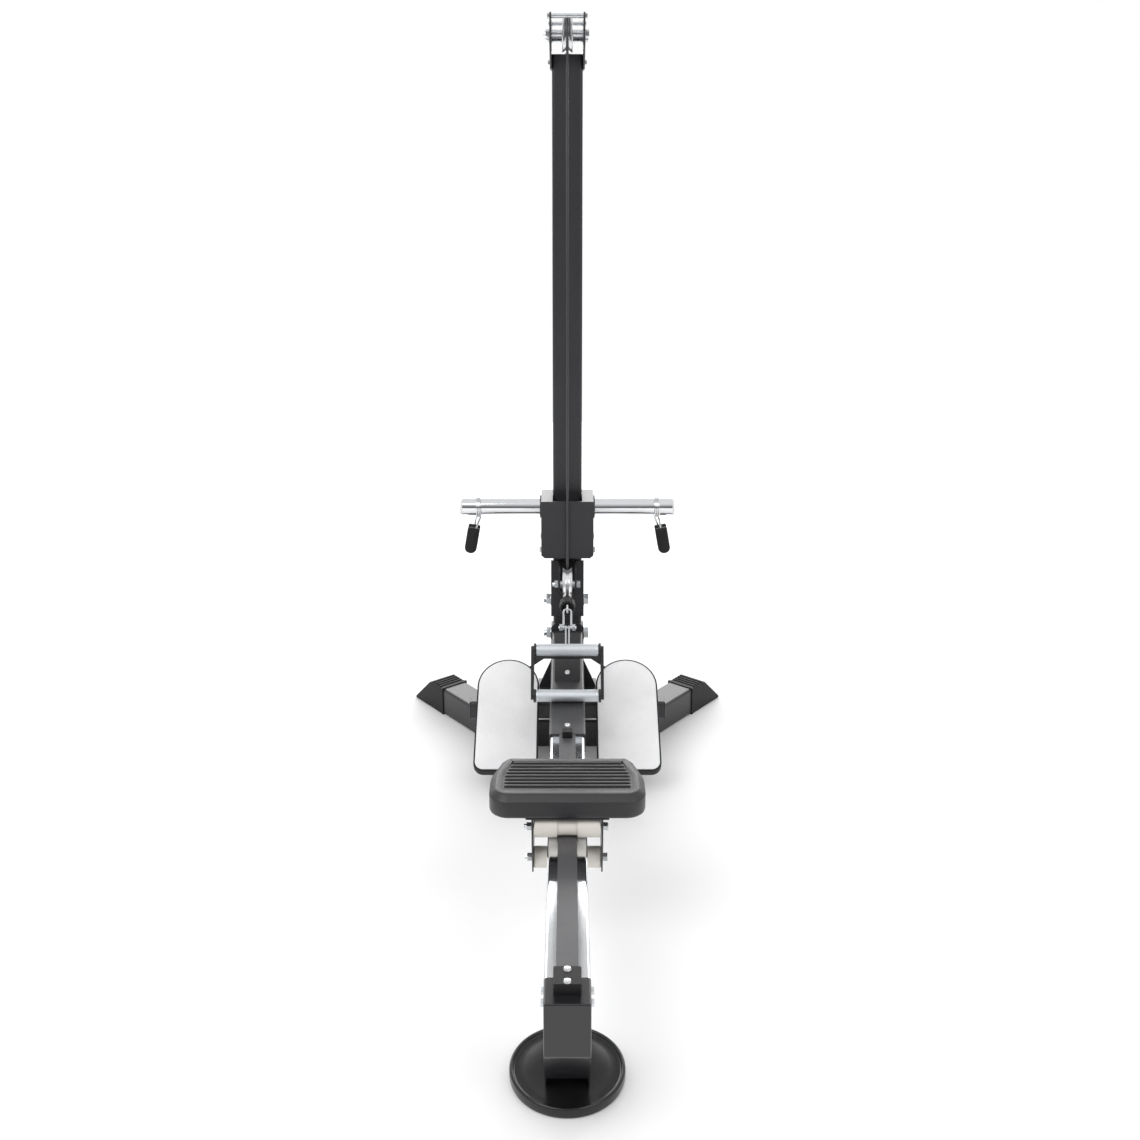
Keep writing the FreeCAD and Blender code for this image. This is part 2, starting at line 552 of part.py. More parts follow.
# weight carriage
def carriage(anchor):
    face, thick, wide = dim("plateFace"), dim("plateThick"), dim("plateWide")
    rearY = -face + dim("boxDeep") - thick / 2
    corners = [("-plateWide / 2 + 9", "plateLow"), ("plateWide / 2 - 9", "plateLow"),
               ("plateWide / 2", "plateLow + 9"), ("plateWide / 2", "plateTop"), ("-plateWide / 2", "plateTop"),
               ("-plateWide / 2", "plateLow + 9")]
    front = pad("carriageFront", "XZ_Plane", corners, "plateThick", (0, -face + thick / 2, 0))
    corners = [(x, z.replace("plateTop", "rearTop")) for x, z in corners]
    rear = pad("carriageRear", "XZ_Plane", corners, "plateThick", (0, rearY, 0))
    lug = box("cableLug", 26, 32, 30, (0, rearY + thick / 2 + 13, anchor.z - 15))
    lugSolid = soften("cableLugRound", lug, 4, lambda edge: runs(edge, (0, 0, 1)))
    pieces = [front, rear, lugSolid]
    middle = dim("mastMiddle")
    for hand in (-1, 1):
        side = [("-plateFace + 2", "plateLow + 12"), ("-plateFace + 26", "sideLow"),
                ("boxDeep - plateFace - 26", "sideLow"), ("boxDeep - plateFace - 2", "plateLow + 12"),
                ("boxDeep - plateFace - 2", "rearTop"), ("coverReach", "plateTop"), ("-plateFace + 2", "plateTop")]
        pieces.append(pad(f"carriageSide{hand + 1}", "YZ_Plane", side, "plateThick",
                          (hand * (wide - thick) / 2, 0, 0)))
        long = dim("plateFace") + dim("coverReach")
        coverX = (dim("tubeSide") + wide) / 4 + 0.25
        pieces.append(box(f"carriageCover{hand + 1}", "(plateWide - tubeSide) / 2 - 0.5", long - 2, "coverThick",
                          (hand * coverX, (dim("coverReach") - face) / 2, dim("plateTop") - dim("coverThick") / 2)))
        pieces.append(rod(f"sleeveFlange{hand + 1}", "flangeRadius", "flangeThick",
                          (hand * wide / 2, middle, dim("sleeveZ")), (hand, 0, 0)))
    holes = []
    rollerY = {"front": -dim("rollerRadius") - 0.35, "rear": dim("tubeSide") + dim("rollerRadius") + 0.35}
    sideX = dim("tubeSide") / 2 + dim("sideRollerRadius") + 0.35
    for word, y in rollerY.items():
        holes.append(rod(word + "PinHole", "pinRadius + 0.1", wide + 10, (-wide / 2 - 5, y, dim("lowRollerZ")),
                         (1, 0, 0)))
    for hand in (-1, 1):
        holes.append(rod(f"sidePinHole{hand + 1}", "pinRadius + 0.1", "boxDeep + 10",
                         (hand * sideX, -face + 2, dim("sideRollerZ")), (0, 1, 0)))
        # room for the side roller's rim in the wall, behind the sleeve's flange
        holes.append(box(f"rollerWindow{hand + 1}", 12, "sideRollerWide + 2", "2 * sideRollerRadius - 5",
                         (hand * (wide / 2 - 6), middle, dim("sideRollerZ"))))
    node("carriage_frame", cut("carriage_frame", fuse("carriageBlank", *pieces), *holes))

    def sleeve(name, hand):
        start = wide / 2 + dim("flangeThick")
        long = f"sleeveEnd - {start}"
        tube = rod(name + "Tube", "sleeveRadius", long, (hand * start, middle, dim("sleeveZ")), (hand, 0, 0))
        bore = rod(name + "Bore", "sleeveRadius - sleeveWall", long, (hand * start, middle, dim("sleeveZ")),
                   (hand, 0, 0))
        return cut(name, tube, bore)

    mirrorPair("sleeve", sleeve)
    plug = [("0", "-14"), ("sleeveRadius - sleeveWall", "-14"), ("sleeveRadius - sleeveWall", "0"),
            ("sleeveRadius", "0"), ("sleeveRadius - 3", "plugTall"), ("0", "plugTall")]
    node("sleeve_plugs", group("sleeve_plugs", *[
        turned(f"sleevePlug{hand + 1}", plug, (hand * dim("sleeveEnd"), middle, dim("sleeveZ")), (hand, 0, 0))
        for hand in (-1, 1)]))

    # rollers with their pins
    tread = [("rollerBore", "-rollerWide / 2"), ("rollerRadius - 2", "-rollerWide / 2"),
             ("rollerRadius", "-rollerWide / 2 + 2"), ("rollerRadius", "rollerWide / 2 - 2"),
             ("rollerRadius - 2", "rollerWide / 2"), ("rollerBore", "rollerWide / 2")]
    pins = []
    for word, y in rollerY.items():
        name = f"guide_roller_{word}"
        node(name, turned(name, tread, (0, y, dim("lowRollerZ")), (1, 0, 0)))
        pins.append(rod(word + "Pin", "pinRadius", wide + 8, (-wide / 2 - 4, y, dim("lowRollerZ")), (1, 0, 0)))
        for hand in (-1, 1):
            pins.append(hexagon(f"{word}PinHead{hand + 1}", "screwRadius + 2", 6,
                                (hand * wide / 2, y, dim("lowRollerZ")), (hand, 0, 0)))
    narrow = [(radius.replace("rollerRadius", "sideRollerRadius"), height.replace("rollerWide", "sideRollerWide"))
              for radius, height in tread]
    for hand, word in ((-1, "left"), (1, "right")):
        name = f"guide_roller_{word}"
        place = (hand * sideX, middle, dim("sideRollerZ"))
        node(name, turned(name, narrow, place, (0, 1, 0)))
        pins.append(rod(word + "Pin", "pinRadius", "boxDeep - 2", (hand * sideX, -face + 2, dim("sideRollerZ")),
                        (0, 1, 0)))
    node("carriage_pins", group("carriage_pins", *[
        fuse("frontPins", *pins[0:3]), fuse("rearPins", *pins[3:6]), *pins[6:]]))


def collars():
    middle, axisZ = dim("mastMiddle"), dim("sleeveZ")
    tilt = 10

    def collar(name, hand):
        # a spring ring on the sleeve with two dipped handles hanging from it
        ring = rod(name + "Ring", "sleeveRadius + collarGap + 2 * wireRadius", "6 * wireRadius", (-7.8, 0, 0),
                   (1, 0, 0))
        bore = rod(name + "Bore", "sleeveRadius + collarGap", 40, (-20, 0, 0), (1, 0, 0))
        ring.Placement = Placement(Vector(-7.8, 0, 0), aim((1, 0, 0)))
        bore.Placement = Placement(Vector(-20, 0, 0), aim((1, 0, 0)))
        pieces = []
        for way in (-1, 1):
            leg = bind(doc.addObject("Part::Box", f"{name}Leg{way + 1}"), Length="6 * wireRadius",
                       Width="2 * wireRadius", Height="clipDrop - 25")
            leg.Placement = Placement(Vector(-7.8, way * 15 - 2.6, -dim("clipDrop")), Rotation())
            clip = bind(doc.addObject("Part::Box", f"{name}Clip{way + 1}"), Length="clipWide", Width="clipThick",
                        Height="clipLong")
            low = -dim("clipDrop") - dim("clipLong") + 8
            clip.Placement = Placement(Vector(-dim("clipWide") / 2, way * 15 - 6, low), Rotation())
            pieces += [leg, soften(f"{name}Pad{way + 1}", clip, 5, lambda edge: runs(edge, (0, 0, 1)))]
        hanging = fuse(name + "Hanging", *pieces)
        hanging.Placement = Placement(Vector(hand * 3, 0, 0), Rotation(Vector(0, 1, 0), -hand * tilt))
        whole = cut(name, fuse(name + "Blank", ring, hanging), bore)
        whole.Placement = Placement(fromMast(hand * dim("collarX"), middle, axisZ), Rotation())
        return whole

    mirrorPair("collar", collar)


# row handle
def strut(name, x, start, end, width, thick):
    """A flat bar with round ends in a plane across X, between two (y, z) points."""
    along = Vector(0, end[0] - start[0], end[1] - start[1])
    pieces = [rod(f"{name}End{index}", width / 2, thick, (x - thick / 2, *place), (1, 0, 0))
              for index, place in enumerate((start, end))]
    bar = bind(doc.addObject("Part::Box", name + "Bar"), Length=thick, Width=along.Length, Height=width)
    turn = Rotation(Vector(1, 0, 0), math.degrees(math.atan2(along.z, along.y)))
    corner = fromMast(x - thick / 2, *start) + turn.multVec(Vector(0, 0, -width / 2))
    bar.Placement = Placement(corner, turn)
    return fuse(name, bar, *pieces)


def handle(far, way):
    boltY, boltZ = -285, 405
    stop = [("0", "0"), ("stopperRadius - 3", "0"), ("stopperRadius", "3"), ("stopperRadius", "stopperLong - 3"),
            ("stopperRadius - 3", "stopperLong"), ("0", "stopperLong")]
    body = turned("stopperBody", stop, tuple(far), tuple(way))
    ringAt = far + way * (dim("stopperLong") + 7)
    ring = bind(doc.addObject("Part::Torus", "stopperEye"), Radius1=9.5, Radius2=2.6)
    ring.Placement = Placement(fromMast(*ringAt), aim((1, 0, 0)))
    node("cable_stopper", fuse("cable_stopper", body, ring))

    # shackle: a bent wire whose two legs stand on its pin
    bow = ringAt + way * 2.5
    pin = Vector(0, boltY, boltZ)
    along = (pin - bow).normalize()
    wide = 10
    bend = bow + along * wide
    across = Vector(wide, 0, 0)
    edges = [Part.makeLine(pin - across, bend - across), Part.Arc(bend - across, bow, bend + across).toShape(),
             Part.makeLine(bend + across, pin + across)]
    wire = doc.addObject("Part::Feature", "shackleWire")
    section = Part.Wire(Part.makeCircle(dim("wireRadius"), pin - across, along))
    wire.Shape = Part.Wire(edges).makePipeShell([section], True, False)
    wire.Placement = Placement(fromMast(0, 0, 0), Rotation())
    eyes = [rod(f"shackleEye{hand + 1}", 7, 5, (hand * 7.5, boltY, boltZ), (hand, 0, 0)) for hand in (-1, 1)]
    hole = rod("shackleHole", 4.05, 60, (-30, boltY, boltZ), (1, 0, 0))
    node("shackle", cut("shackle", fuse("shackleBlank", wire, *eyes), hole))
    pinPieces = [rod("pinShank", 4, 46, (-23, boltY, boltZ), (1, 0, 0))]
    pinPieces += [hexagon(f"pinNut{hand + 1}", 9.5, 8, (hand * 12.7, boltY, boltZ), (hand, 0, 0))
                  for hand in (-1, 1)]
    node("shackle_pin", fuse("shackle_pin", *pinPieces))

    webBack, webWay = (-350, 371), Vector(0, -0.876, -0.482)
    straps = [strut(f"linkBar{hand + 1}", hand * 4.2, (boltY, boltZ), webBack, 13, dim("linkThick"))
              for hand in (-1, 1)]
    linkHole = rod("linkHole", 4.05, 60, (-30, boltY, boltZ), (1, 0, 0))
    node("handle_link", group("handle_link", *[cut(f"linkStrap{index}", strap, linkHole)
                                               for index, strap in enumerate(straps)]))

    upper, lower = (-407, 396), (-458, 295.4)
    half, thick = dim("handleHalf"), dim("sidePlateThick")
    pieces = []
    for hand in (-1, 1):
        x = hand * (half - thick / 2)
        pieces += [strut(f"sideBar{hand + 1}", x, upper, lower, 20, thick),
                   strut(f"sideArm{hand + 1}", x, upper, (-356, 366), 18, thick),
                   strut(f"sideLeg{hand + 1}", x, lower, (-356, 366), 14, thick)]
        for index, (y, z) in enumerate((upper, lower)):
            pieces.append(rod(f"endRing{hand + 1}{index}", "gripRadius + 1.5", "endRingLong",
                              (hand * (half - thick), y, z), (-hand, 0, 0)))
    for index, (y, z) in enumerate((upper, lower)):
        pieces.append(rod(f"gripRod{index}", "axleRadius", "2 * handleHalf - 2", (-half + 1, y, z), (1, 0, 0)))
    inner = half - thick + 1
    turn = Rotation(Vector(1, 0, 0), math.degrees(math.atan2(-webWay.z, -webWay.y)))
    webAt = Vector(0, webBack[0], webBack[1]) + webWay * 22
    web = doc.addObject("Part::Feature", "handleWeb")
    flat = [(-inner, 22), (-inner, -24), (-60, -4), (60, -4), (inner, -24), (inner, 22)]
    wireFlat = Part.makePolygon([Vector(u, v, -3) for u, v in flat + flat[:1]])
    web.Shape = Part.Face(wireFlat).extrude(Vector(0, 0, 6))
    web.Placement = Placement(fromMast(*webAt), turn)
    pieces.append(web)
    blank = fuse("handleBlank", *pieces)
    node("handle_frame", cut("handle_frame", blank, *straps))
    for word, (y, z) in (("upper", upper), ("lower", lower)):
        tube = rod(f"gripTube{word}", "gripRadius", "gripLong", (-dim("gripLong") / 2, y, z), (1, 0, 0))
        bore = rod(f"gripBore{word}", "gripBore", "gripLong", (-dim("gripLong") / 2, y, z), (1, 0, 0))
        node(f"handle_grip_{word}", cut(f"handle_grip_{word}", tube, bore))


# seat and its carriage
def seat():
    face, deep, low = dim("seatFace"), dim("seatDeep"), dim("seatLow")
    corners = [("-seatWide / 2", "-seatFace"), ("seatWide / 2", "-seatFace"),
               ("seatWide / 2", "-seatFace + seatDeep * 0.55"), ("seatWide / 2 - 24", "-seatFace + seatDeep"),
               ("-seatWide / 2 + 24", "-seatFace + seatDeep"), ("-seatWide / 2", "-seatFace + seatDeep * 0.55")]
    slab = pad("seatSlab", "XY_Plane", corners, "seatThick", (0, 0, low + dim("seatThick") / 2))
    node("seat", soften("seat", slab, 38, lambda edge: runs(edge, (0, 0, 1))
                        and edge.Vertexes[0].Point.y < dim("mastFace") - face + 1))

    wheelZ = dim("railTop") + dim("wheelRadius") + 0.3
    near, farY = -dim("wheelNear"), -dim("wheelFar")
    middle = (near + farY) / 2
    lowZ = dim("lowWheelZ")
    lowY = -dim("lowWheelY")
    top = box("seatPlate", "2 * seatFlange", farY - near + 40, "cheekThick",
              (0, middle, low - dim("cheekThick") / 2))
    cheek = [("-wheelNear - 19", "seatLow - 1"), ("-wheelFar + 19", "seatLow - 1"), ("-wheelFar + 19", "282"),
             ("-lowWheelY + 40", "cheekLow"), ("-lowWheelY - 18", "cheekLow"), ("-wheelNear - 19", "270")]
    cheeks = [pad(f"seatCheek{hand + 1}", "YZ_Plane", cheek, "cheekThick",
                  (hand * (dim("cheekX") + dim("cheekThick") / 2), 0, 0)) for hand in (-1, 1)]
    holes = [rod(f"seatHole{index}", "pinRadius + 0.1", 160, (-80, y, z), (1, 0, 0))
             for index, (y, z) in enumerate(((near, wheelZ), (farY, wheelZ), (lowY, lowZ)))]
    node("seat_bracket", cut("seat_bracket", fuse("seatBlank", top, *cheeks), *holes))

    # the upper wheels run on the rail's two edges and clear its middle strip
    side = "stripWide / 2 + 1.5"
    wheel = [("rollerBore", "-wheelWide / 2"), ("wheelRadius - 2", "-wheelWide / 2"),
             ("wheelRadius", "-wheelWide / 2 + 2"), ("wheelRadius", f"-({side})"),
             ("wheelRadius - 4", f"-({side})"), ("wheelRadius - 4", side), ("wheelRadius", side),
             ("wheelRadius", "wheelWide / 2 - 2"), ("wheelRadius - 2", "wheelWide / 2"),
             ("rollerBore", "wheelWide / 2")]
    for word, y in (("near", near), ("far", farY)):
        node(f"seat_wheel_{word}", turned(f"seat_wheel_{word}", wheel, (0, y, wheelZ), (1, 0, 0)))
    small = [("rollerBore", "-lowWheelWide / 2"), ("wheelRadius - 2", "-lowWheelWide / 2"),
             ("wheelRadius", "-lowWheelWide / 2 + 2"), ("wheelRadius", "lowWheelWide / 2 - 2"),
             ("wheelRadius - 2", "lowWheelWide / 2"), ("rollerBore", "lowWheelWide / 2")]
    mirrorPair("seat_wheel", lambda name, hand: turned(
        name, small, (hand * (dim("cheekX") - dim("lowWheelWide") / 2 - 0.5), lowY, lowZ), (1, 0, 0)))
    outer = dim("cheekX") + dim("cheekThick")
    bolts = [throughBolt(f"seatBolt{index}", "pinRadius", "screwRadius + 2", outer, y, z)
             for index, (y, z) in enumerate(((near, wheelZ), (farY, wheelZ), (lowY, lowZ)))]
    node("seat_bolts", group("seat_bolts", *bolts))


def build():
    floorFrame()
    mast()
    boomAndRail()
    footPlates()
    pulleys()
    pulleyFrames()
    anchor, far, way = cables()
    carriage(anchor)
    collars()
    handle(far, way)
    seat()


def check():
    """Stop if any object failed or any sub-part is empty or broken."""
    doc.recompute()
    for thing in doc.Objects:
        if "Invalid" in thing.State or "Error" in thing.State:
            raise RuntimeError(f"{thing.Name} failed: {thing.State}")
    for name, thing in parts.items():
        if thing.Shape.isNull() or not thing.Shape.isValid() or thing.Shape.Volume <= 0:
            raise RuntimeError(f"{name} has no sound shape")


def save():
    os.makedirs("parts", exist_ok=True)
    whole = FreeCAD.BoundBox()
    for name, thing in parts.items():
        thing.Shape.exportStep(os.path.join("parts", name + ".step"))
        whole.add(thing.Shape.BoundBox)
    print(len(parts), "sub-parts, box", whole)


build()
check()
save()
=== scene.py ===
import json
import math

import bmesh
import bpy
import numpy as np
from mathutils import Matrix, Vector


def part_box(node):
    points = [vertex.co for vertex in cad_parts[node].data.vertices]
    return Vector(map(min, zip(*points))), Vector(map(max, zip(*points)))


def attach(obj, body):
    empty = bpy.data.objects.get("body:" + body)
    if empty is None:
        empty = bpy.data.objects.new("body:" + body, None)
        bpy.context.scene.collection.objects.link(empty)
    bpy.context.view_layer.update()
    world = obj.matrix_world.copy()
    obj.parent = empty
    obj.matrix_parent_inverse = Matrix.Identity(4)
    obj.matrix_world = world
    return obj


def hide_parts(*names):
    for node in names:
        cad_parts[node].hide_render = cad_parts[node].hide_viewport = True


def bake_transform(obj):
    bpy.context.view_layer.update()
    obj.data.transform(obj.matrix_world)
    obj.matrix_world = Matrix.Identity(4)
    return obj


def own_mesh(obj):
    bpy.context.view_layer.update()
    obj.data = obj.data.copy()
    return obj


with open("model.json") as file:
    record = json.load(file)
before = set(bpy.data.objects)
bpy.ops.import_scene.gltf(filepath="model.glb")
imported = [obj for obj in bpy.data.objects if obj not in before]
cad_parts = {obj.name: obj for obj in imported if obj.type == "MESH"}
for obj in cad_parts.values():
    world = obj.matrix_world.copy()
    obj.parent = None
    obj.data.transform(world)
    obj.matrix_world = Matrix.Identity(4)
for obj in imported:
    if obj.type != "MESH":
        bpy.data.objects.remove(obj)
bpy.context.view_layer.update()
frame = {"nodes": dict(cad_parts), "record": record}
nodes = frame["nodes"]
print("frame loaded:", len(nodes), "nodes")


# places read from the frame

def corners(name):
    low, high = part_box(name)
    return np.array(low, float), np.array(high, float)


def middle(name):
    low, high = corners(name)
    return (low + high) / 2


mastLow, mastHigh = corners("mast")
mastY = mastLow[1]  # the mast's front face


# mesh tools

def quadFaces(rows, cols, wrapRows=False, wrapCols=False):
    # Corner numbers of the quads of a rows x cols grid, as one array.
    r = np.arange(rows if wrapRows else rows - 1)[:, None]
    c = np.arange(cols if wrapCols else cols - 1)[None, :]
    nextRow, nextCol = (r + 1) % rows, (c + 1) % cols
    quads = np.stack([r * cols + c, r * cols + nextCol,
                      nextRow * cols + nextCol, nextRow * cols + c], axis=-1)
    return quads.reshape(-1, 4)


def gridPiece(name, points, wrapRows=False, wrapCols=False, uv=None, smooth=True):
    # A surface from a (rows, cols, 3) array of points, doubles merged and faces turned outwards.
    rows, cols = points.shape[:2]
    quads = quadFaces(rows, cols, wrapRows, wrapCols)
    mesh = bpy.data.meshes.new(name)
    mesh.vertices.add(rows * cols)
    mesh.vertices.foreach_set("co", points.reshape(-1).astype(np.float32))
    mesh.loops.add(quads.size)
    mesh.loops.foreach_set("vertex_index", quads.reshape(-1).astype(np.int32))
    mesh.polygons.add(len(quads))
    mesh.polygons.foreach_set("loop_start", np.arange(0, quads.size, 4, dtype=np.int32))
    mesh.update(calc_edges=True)
    if uv is not None:
        layer = mesh.uv_layers.new(name="UVMap")
        layer.data.foreach_set("uv", uv.reshape(-1, 2)[quads.reshape(-1)].reshape(-1).astype(np.float32))
    tidyMesh(mesh)
    mesh.polygons.foreach_set("use_smooth", np.full(len(mesh.polygons), smooth))
    piece = bpy.data.objects.new(name, mesh)
    bpy.context.scene.collection.objects.link(piece)
    return piece


def tidyMesh(mesh):
    work = bmesh.new()
    work.from_mesh(mesh)
    bmesh.ops.remove_doubles(work, verts=work.verts, dist=1e-6)
    bmesh.ops.dissolve_degenerate(work, edges=work.edges, dist=1e-7)
    bmesh.ops.recalc_face_normals(work, faces=work.faces)
    work.to_mesh(mesh)
    work.free()
    mesh.update()


def join(name, parts):
    # Several pieces as one object.
    work = bmesh.new()
    for part in parts:
        work.from_mesh(part.data)
        bpy.data.objects.remove(part)
    mesh = bpy.data.meshes.new(name)
    work.to_mesh(mesh)
    work.free()
    piece = bpy.data.objects.new(name, mesh)
    bpy.context.scene.collection.objects.link(piece)
    return piece


def place(piece, matrix):
    # Puts the place into the mesh, so that the object stays at the origin.
    piece.data.transform(matrix)
    piece.data.update()
    return piece


def shell(name, loop, rings, closeEnds=True):
    # A closed shell: the outline (n, 2) set in by each ring's first number, at its second number's height.
    # The ends are closed at the outline's middle.
    step = np.roll(loop, -1, axis=0) - np.roll(loop, 1, axis=0)
    step /= np.linalg.norm(step, axis=1)[:, None]
    inward = np.stack([-step[:, 1], step[:, 0]], axis=1)
    centre = loop.mean(axis=0)
    layers = []
    for inset, height in rings:
        layers.append(np.column_stack([loop + inward * inset, np.full(len(loop), height)]))
    if closeEnds:
        for index, (inset, height) in ((0, rings[0]), (len(layers) + 1, rings[-1])):
            layers.insert(index, np.tile([centre[0], centre[1], height], (len(loop), 1)))
    return gridPiece(name, np.array(layers), wrapCols=True)


def roundedLoop(cornerPoints, radii, steps=10):
    # A closed outline through corners, each rounded by its own radius; counterclockwise corners.
    points = np.array(cornerPoints, float)
    out = []
    for index, radius in enumerate(radii):
        here = points[index]
        before = points[index - 1] - here
        after = points[(index + 1) % len(points)] - here
        before /= np.linalg.norm(before)
        after /= np.linalg.norm(after)
        half = math.acos(np.clip(before @ after, -1, 1)) / 2
        reach = radius / math.tan(half)
        centre = here + (before + after) / np.linalg.norm(before + after) * radius / math.sin(half)
        start = here + before * reach - centre
        end = here + after * reach - centre
        a0 = math.atan2(start[1], start[0])
        sweep = (math.atan2(end[1], end[0]) - a0 + math.pi) % (2 * math.pi) - math.pi
        angles = a0 + np.linspace(0, 1, steps) * sweep
        out.append(centre + radius * np.column_stack([np.cos(angles), np.sin(angles)]))
    return np.vstack(out)


def lathe(name, profile, origin, axis, steps=96):
    # The profile of (radius, height) pairs turned about the axis through the origin.
    radius, height = np.array(profile, float).T
    angle = np.linspace(0, 2 * math.pi, steps, endpoint=False)
    ring = np.stack([radius[:, None] * np.cos(angle), radius[:, None] * np.sin(angle),
                     np.repeat(height[:, None], steps, axis=1)], axis=-1)
    turn = np.array(Vector((0, 0, 1)).rotation_difference(Vector(axis)).to_matrix())
    return gridPiece(name, ring @ turn.T + np.array(origin), wrapCols=True)


def tube(name, path, radius, sides=16, closed=False):
    # A round section carried along the path; its UV is (turn, length in metres).
    path = np.array(path, float)
    if closed:
        tangent = np.roll(path, -1, axis=0) - np.roll(path, 1, axis=0)
    else:
        tangent = np.gradient(path, axis=0)
    tangent /= np.linalg.norm(tangent, axis=1)[:, None]
    side = np.cross(tangent, np.array([1.0, 0.003, 0.002]))
    weak = np.linalg.norm(side, axis=1) < 0.05
    side[weak] = np.cross(tangent[weak], np.array([0, 1.0, 0]))
    side /= np.linalg.norm(side, axis=1)[:, None]
    other = np.cross(tangent, side)
    angle = np.linspace(0, 2 * math.pi, sides, endpoint=False)
    points = path[:, None] + radius * (np.cos(angle)[None, :, None] * side[:, None]
                                       + np.sin(angle)[None, :, None] * other[:, None])
    if not closed:
        points = np.concatenate([np.repeat(path[:1, None], sides, axis=1), points,
                                 np.repeat(path[-1:, None], sides, axis=1)])
    length = np.concatenate([[0], np.cumsum(np.linalg.norm(np.diff(path, axis=0), axis=1))])
    if not closed:
        length = np.concatenate([[0], length, length[-1:]])
    uv = np.stack(np.broadcast_arrays(angle[None, :] / (2 * math.pi), length[:, None]), axis=-1)
    return gridPiece(name, points, wrapRows=closed, wrapCols=True, uv=uv)


def prism(name, outline, low, high):
    # A flat outline (n, 2) in the Y-Z plane carried from x = low to x = high.
    outline = np.array(outline, float)
    count = len(outline)
    layers = [np.column_stack([np.full(count, x), outline]) for x in (low, high)]
    verts = np.vstack(layers)
    sides = quadFaces(2, count, wrapCols=True).tolist()
    mesh = bpy.data.meshes.new(name)
    ends = [list(range(count)), list(range(2 * count - 1, count - 1, -1))]
    mesh.from_pydata(verts.tolist(), [], sides + ends)
    tidyMesh(mesh)
    piece = bpy.data.objects.new(name, mesh)
    bpy.context.scene.collection.objects.link(piece)
    return piece


def bevel(piece, width, segments=3, weld=False):
    if weld:
        merge = piece.modifiers.new("weld", "WELD")
        merge.merge_threshold = 1e-5
    rounding = piece.modifiers.new("bevel", "BEVEL")
    rounding.width = width
    rounding.segments = segments
    rounding.limit_method = "ANGLE"
    rounding.angle_limit = math.radians(32)
    rounding.harden_normals = True
    return piece


# shader groups shared by the materials

def newGroup(name, inputs, outputs):
    group = bpy.data.node_groups.new(name, "ShaderNodeTree")
    for socket, kind, value in inputs:
        made = group.interface.new_socket(socket, in_out="INPUT", socket_type=kind)
        if value is not None:
            made.default_value = value
    for socket, kind in outputs:
        group.interface.new_socket(socket, in_out="OUTPUT", socket_type=kind)
    start, end = group.nodes.new("NodeGroupInput"), group.nodes.new("NodeGroupOutput")
    return group, start, end


def node(tree, kind, **values):
    made = tree.nodes.new(kind)
    for key, value in values.items():
        if hasattr(made, key):
            setattr(made, key, value)
        else:
            made.inputs[key.replace("_", " ")].default_value = value
    return made


def mixColour(tree, factor, first, second):
    # Mixes two colours; each input is a socket or a colour.
    mix = tree.nodes.new("ShaderNodeMix")
    mix.data_type = "RGBA"
    for socket, value in ((mix.inputs[0], factor), (mix.inputs[6], first), (mix.inputs[7], second)):
        if isinstance(value, bpy.types.NodeSocket):
            tree.links.new(value, socket)
        else:
            socket.default_value = value
    return mix.outputs[2]


def rangeOf(tree, value, low, high, start=0.0, end=1.0):
    # Maps a socket's range start..end to low..high.
    ranged = node(tree, "ShaderNodeMapRange")
    for index, number in ((1, start), (2, end), (3, low), (4, high)):
        ranged.inputs[index].default_value = number
    tree.links.new(value, ranged.inputs[0])
    return ranged.outputs[0]


